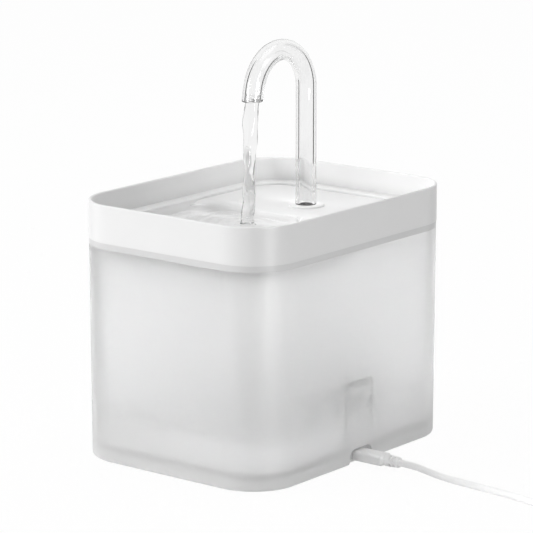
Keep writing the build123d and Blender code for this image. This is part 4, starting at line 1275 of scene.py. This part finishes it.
@dataclass
class Faucet:
    """Clear bent tube with the insert in its outlet, and the stream that falls from it."""

    bend_radius: float = 24.3 * MM
    bend_angle: float = 170.0
    outlet_z: float = 200.1 * MM
    bore_radius: float = 4.0 * MM
    insert_length: float = 4.6 * MM
    insert_gap: float = 0.4 * MM
    cut_length: float = 1.2 * MM
    lip_round: float = 0.5 * MM
    lip_steps: int = 6
    sides: int = 96
    stem_steps: int = 40
    bend_steps: int = 110
    stream_radius: float = 3.95 * MM
    stream_end_radius: float = 3.3 * MM
    stream_speed: float = 0.24
    stream_sides: int = 72
    stream_steps: int = 260
    smooth_length: float = 12.0 * MM
    twist_length: float = 17.0 * MM
    oval: float = 0.15
    lobes: float = 0.06
    lobe_twist: float = 1.7
    swell: float = 0.22
    swell_length: float = 14.0 * MM
    swell_count: float = 1.1
    froth: float = 0.05
    froth_count: float = 3.0
    flare: float = 0.12
    flare_start: float = 0.965
    water_z: float = 131.2 * MM
    ledge_clear_z: float = 134.9 * MM

    def __post_init__(self) -> None:
        """Works out the tube's sizes from the frame."""
        low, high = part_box("faucet_tube")
        self.outer_radius = (high.x - low.x) / 2
        self.foot_z = low.z
        self.stem_y = high.y - self.outer_radius
        self.bend_z = high.z - self.outer_radius - self.bend_radius

    def station(self, along: float) -> tuple[Vector, Vector]:
        """Centre and heading of the tube at a distance from its foot.

        Args:
            along: Distance along the centre line.

        Returns:
            The centre and the heading there.
        """
        stem = self.bend_z - self.foot_z
        if along <= stem:
            return Vector((0.0, self.stem_y, self.foot_z + along)), Vector((0.0, 0.0, 1.0))
        angle = min((along - stem) / self.bend_radius, math.radians(self.bend_angle))
        centre = Vector((0.0, self.stem_y - self.bend_radius * (1 - math.cos(angle)),
                         self.bend_z + self.bend_radius * math.sin(angle)))
        heading = Vector((0.0, -math.sin(angle), math.cos(angle)))
        rest = along - stem - angle * self.bend_radius
        return centre + heading * rest, heading

    def length(self) -> float:
        """Length of the centre line, down to the level cut of the outlet.

        Returns:
            The length.
        """
        stem = self.bend_z - self.foot_z
        bend = math.radians(self.bend_angle) * self.bend_radius
        end, heading = self.station(stem + bend)
        return stem + bend + (end.z - self.outlet_z) / -heading.z

    def tube_ring(self, along: float, radius: float, level: float | None = None) -> list[Vector]:
        """Ring of corners about the centre line.

        Args:
            along: Distance along the centre line.
            radius: Radius of the ring.
            level: Height to which the ring is cut level, if it is.

        Returns:
            The ring's corners.
        """
        centre, heading = self.station(along)
        side = Vector((1.0, 0.0, 0.0))
        other = heading.cross(side)
        ring = []
        for index in range(self.sides):
            angle = 2 * math.pi * index / self.sides
            point = centre + (side * math.cos(angle) + other * math.sin(angle)) * radius
            if level is not None:
                point = point + heading * ((level - point.z) / heading.z)
            ring.append(point)
        return ring

    def stations(self, end: float) -> list[float]:
        """Distances of the rings from the foot, closer in the bend.

        Args:
            end: Distance of the last ring.

        Returns:
            The distances.
        """
        stem = self.bend_z - self.foot_z
        places = [stem * step / self.stem_steps for step in range(1, self.stem_steps + 1)]
        return places + [stem + (end - stem) * step / self.bend_steps
                         for step in range(1, self.bend_steps + 1)]

    def build_tube(self) -> None:
        """Makes the clear tube with rounded lips and a level cut at the outlet."""
        end = self.length() - self.cut_length
        lip = self.lip_round
        rings = [self.tube_ring(0.0, self.outer_radius - lip), self.tube_ring(lip, self.outer_radius)]
        rings += [self.tube_ring(along, self.outer_radius) for along in self.stations(end)]
        turns = [math.radians(90 * step / self.lip_steps) for step in range(self.lip_steps + 1)]
        outside = [(turn, self.outer_radius, -lip) for turn in turns]
        inside = [(turn, self.bore_radius, lip) for turn in reversed(turns)]
        for turn, radius, inward in outside + inside:
            level = self.outlet_z + lip * (1 - math.sin(turn))
            rings.append(self.tube_ring(end, radius + inward * (1 - math.cos(turn)), level))
        seat = end - self.insert_length
        bore = [0.0, *self.stations(seat - self.insert_gap), seat]
        rings += [self.tube_ring(along, self.bore_radius) for along in reversed(bore)]
        points = [point for ring in rings for point in ring]
        faces = bridge(len(rings), self.sides, closed=True)
        tube = make_piece("faucet_clear_tube", points, faces, TUBE_CLEAR, Body.FAUCET)
        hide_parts("faucet_tube")
        tube.visible_shadow = False

    def stream_centre(self, drop: float) -> Vector:
        """Centre of the stream, thrown a little forward.

        Args:
            drop: Distance under the outlet.

        Returns:
            The centre at that drop.
        """
        end, heading = self.station(self.length())
        speed_down = self.stream_speed * -heading.z
        time = (-speed_down + math.sqrt(speed_down**2 + 2 * GRAVITY * drop)) / GRAVITY
        return Vector((0.0, end.y + self.stream_speed * heading.y * time, self.outlet_z - drop))

    def stream_reach(self, angle: float, drop: float) -> float:
        """Radius of the stream's twisted, uneven section.

        Args:
            angle: Direction round the stream.
            drop: Distance under the outlet.

        Returns:
            The radius in that direction.
        """
        fall = drop / (self.outlet_z - self.water_z)
        radius = self.stream_radius + (self.stream_end_radius - self.stream_radius) * fall
        grown = min(1.0, drop / self.smooth_length)
        twist = drop / self.twist_length
        oval = self.oval * grown * math.cos(2 * (angle - twist))
        lobes = self.lobes * grown * math.cos(3 * angle + self.lobe_twist * twist)
        spot = Vector((math.cos(angle), math.sin(angle), drop / self.swell_length))
        swell = self.swell * grown * noise.noise(spot * self.swell_count)
        froth = self.froth * fall * noise.noise(spot * self.froth_count)
        flare = self.flare * max(0.0, (fall - self.flare_start) / (1 - self.flare_start)) ** 2
        return radius * (1 + oval + lobes + swell + froth + flare)

    def build_stream(self) -> None:
        """Makes the falling stream as a closed glassy rope, which ends at the water's level."""
        sides, steps = self.stream_sides, self.stream_steps
        height = self.outlet_z - self.water_z
        points = []
        for step in range(steps + 1):
            drop = height * step / steps
            centre = self.stream_centre(drop)
            for index in range(sides):
                angle = 2 * math.pi * index / sides
                reach = self.stream_reach(angle, drop)
                points.append(centre + Vector((math.cos(angle), math.sin(angle), 0.0)) * reach)
        faces = flipped(bridge(steps + 1, sides))
        top, bottom = len(points), len(points) + 1
        points.append(self.stream_centre(0.0))
        points.append(self.stream_centre(height))
        last = steps * sides
        for j in range(sides):
            k = (j + 1) % sides
            faces.append((top, j, k))
            faces.append((bottom, last + k, last + j))
        stream = make_piece("falling_stream", points, faces, STREAM_WATER, Body.FAUCET)
        stream.visible_shadow = False
        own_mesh(stream)

    def build(self) -> None:
        """Makes the tube and the stream and dresses the insert."""
        self.build_tube()
        self.build_stream()
        dress_nodes({"outlet_ring": INSERT_CLEAR})


# ------------------------------------------------------------------ power cord


@dataclass
class PowerCord:
    """Cord from the strain relief along the floor to its stored coil, with its tie and plugs."""

    diameter: float = 3.8 * MM
    length: float = 1.5
    turns: float = 10.25
    layers: int = 4
    points_per_turn: int = 16
    mean_radius: float = 20.4 * MM
    plug_z: float = 5.0 * MM
    start_angle: float = -90.0
    climb_start: float = 0.94
    tail_heading: float = 150.0
    tail_run: float = 13.0 * MM
    seed: int = 7
    wander: float = 0.12 * MM
    section_steps: int = 6
    run_steps: int = 8

    def __post_init__(self) -> None:
        """Works out the coil's place and band from the frame."""
        low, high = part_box("cord_coil")
        self.centre = Vector(((low.x + high.x) / 2, (low.y + high.y) / 2, 0.0))
        self.half_band = self.diameter * self.turns / self.layers / 2
        self.line_radius = self.mean_radius + self.half_band
        self.exit_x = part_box("plug_relief")[1].x

    def lead_points(self) -> list[Vector]:
        """Route from the strain relief to the coil.

        Returns:
            The route's points, in order.
        """
        floor = self.diameter / 2
        return [
            Vector((self.exit_x, 0.0, self.plug_z)),
            Vector((0.1065, 0.0, self.plug_z)),
            Vector((0.118, 0.0002, 0.0029)),
            Vector((0.132, -0.0007, floor)),
            Vector((0.152, -0.0020, floor)),
            Vector((0.175, -0.0041, floor)),
            Vector((0.196, -0.0084, floor)),
            Vector((0.2115, -0.0176, floor)),
            Vector((self.centre.x, self.centre.y - self.line_radius, floor)),
        ]

    def tail_points(self) -> list[Vector]:
        """Route from the top of the coil to the far plug.

        Returns:
            The route's points, in order.
        """
        start_x = self.centre.x + self.line_radius
        top = self.layers * self.diameter - self.diameter / 2
        last = Vector((start_x - 0.0104, self.centre.y + 0.0382, 0.004))
        heading = math.radians(self.tail_heading)
        return [
            Vector((start_x, self.centre.y, top)),
            Vector((start_x + 0.0003, self.centre.y + 0.013, 0.012)),
            Vector((start_x - 0.0028, self.centre.y + 0.0266, 0.007)),
            last,
            last + Vector((math.cos(heading), math.sin(heading), 0.0)) * self.tail_run,
        ]

    def coil_points(self) -> list[Vector]:
        """Turns of the coil, layer over layer, inwards and outwards by turns.

        Returns:
            The turns' points, in order.
        """
        chance = random.Random(self.seed)
        count = int(self.turns * self.points_per_turn)
        per_layer = self.turns / self.layers
        swell = 1 / math.cos(math.pi / self.points_per_turn)
        points = []
        for index in range(1, count):
            turn = index / self.points_per_turn
            layer = min(int(turn / per_layer), self.layers - 1)
            share = turn / per_layer - layer
            inward = share if layer % 2 == 0 else 1 - share
            radius = self.line_radius - 2 * self.half_band * inward
            radius = radius * swell + chance.uniform(-self.wander, self.wander)
            climb = max(0.0, (share - self.climb_start) / (1 - self.climb_start))
            height = self.diameter * (0.5 + layer + (climb if layer < self.layers - 1 else 0.0))
            angle = math.radians(self.start_angle) + 2 * math.pi * turn
            points.append(self.centre + Vector((radius * math.cos(angle), radius * math.sin(angle),
                                                height)))
        return points

    def build_cord(self) -> bpy.types.Object:
        """Makes the whole cord as one smooth curve.

        Returns:
            The cord piece.
        """
        route = self.lead_points() + self.coil_points() + self.tail_points()
        data = bpy.data.curves.new("power_cord", "CURVE")
        data.dimensions = "3D"
        data.bevel_depth = self.diameter / 2
        data.bevel_resolution = self.section_steps
        data.resolution_u = self.run_steps
        data.use_fill_caps = True
        spline = data.splines.new("NURBS")
        spline.points.add(len(route) - 1)
        for point, place in zip(spline.points, route):
            point.co = (*place, 1.0)
        spline.order_u = 3
        spline.use_endpoint_u = True
        data.materials.append(CORD_SATIN.material())
        cord = bpy.data.objects.new("power_cord", data)
        bpy.context.scene.collection.objects.link(cord)
        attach(cord, Body.CORD_SET.value)
        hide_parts("usb_cord", "cord_coil", "cord_tail")
        REPORT.info("curve power_cord: %d route points", len(route))
        return cord

    def build(self) -> None:
        """Makes the cord and dresses its plugs and its tie."""
        cord = self.build_cord()
        dress_nodes({"plug_body": PLUG_SATIN, "plug_tongue": SOCKET_NICKEL, "plug_relief": PLUG_SATIN,
                     "far_relief": PLUG_SATIN, "far_plug": PLUG_SATIN, "far_shell": SOCKET_NICKEL,
                     "cord_tie": STRAP_GREY})


# ------------------------------------------------------------------ whole


def main() -> None:
    """Builds the studio and every sub-assembly."""
    logging.basicConfig(level=logging.INFO, format="%(name)s: %(message)s")
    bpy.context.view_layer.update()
    for part in (Studio(), PowerCord(), Tank(), PumpBox(), Tray(), Faucet()):
        part.build()
        REPORT.info("built %s", type(part).__name__)


if __name__ == "__main__":
    main()
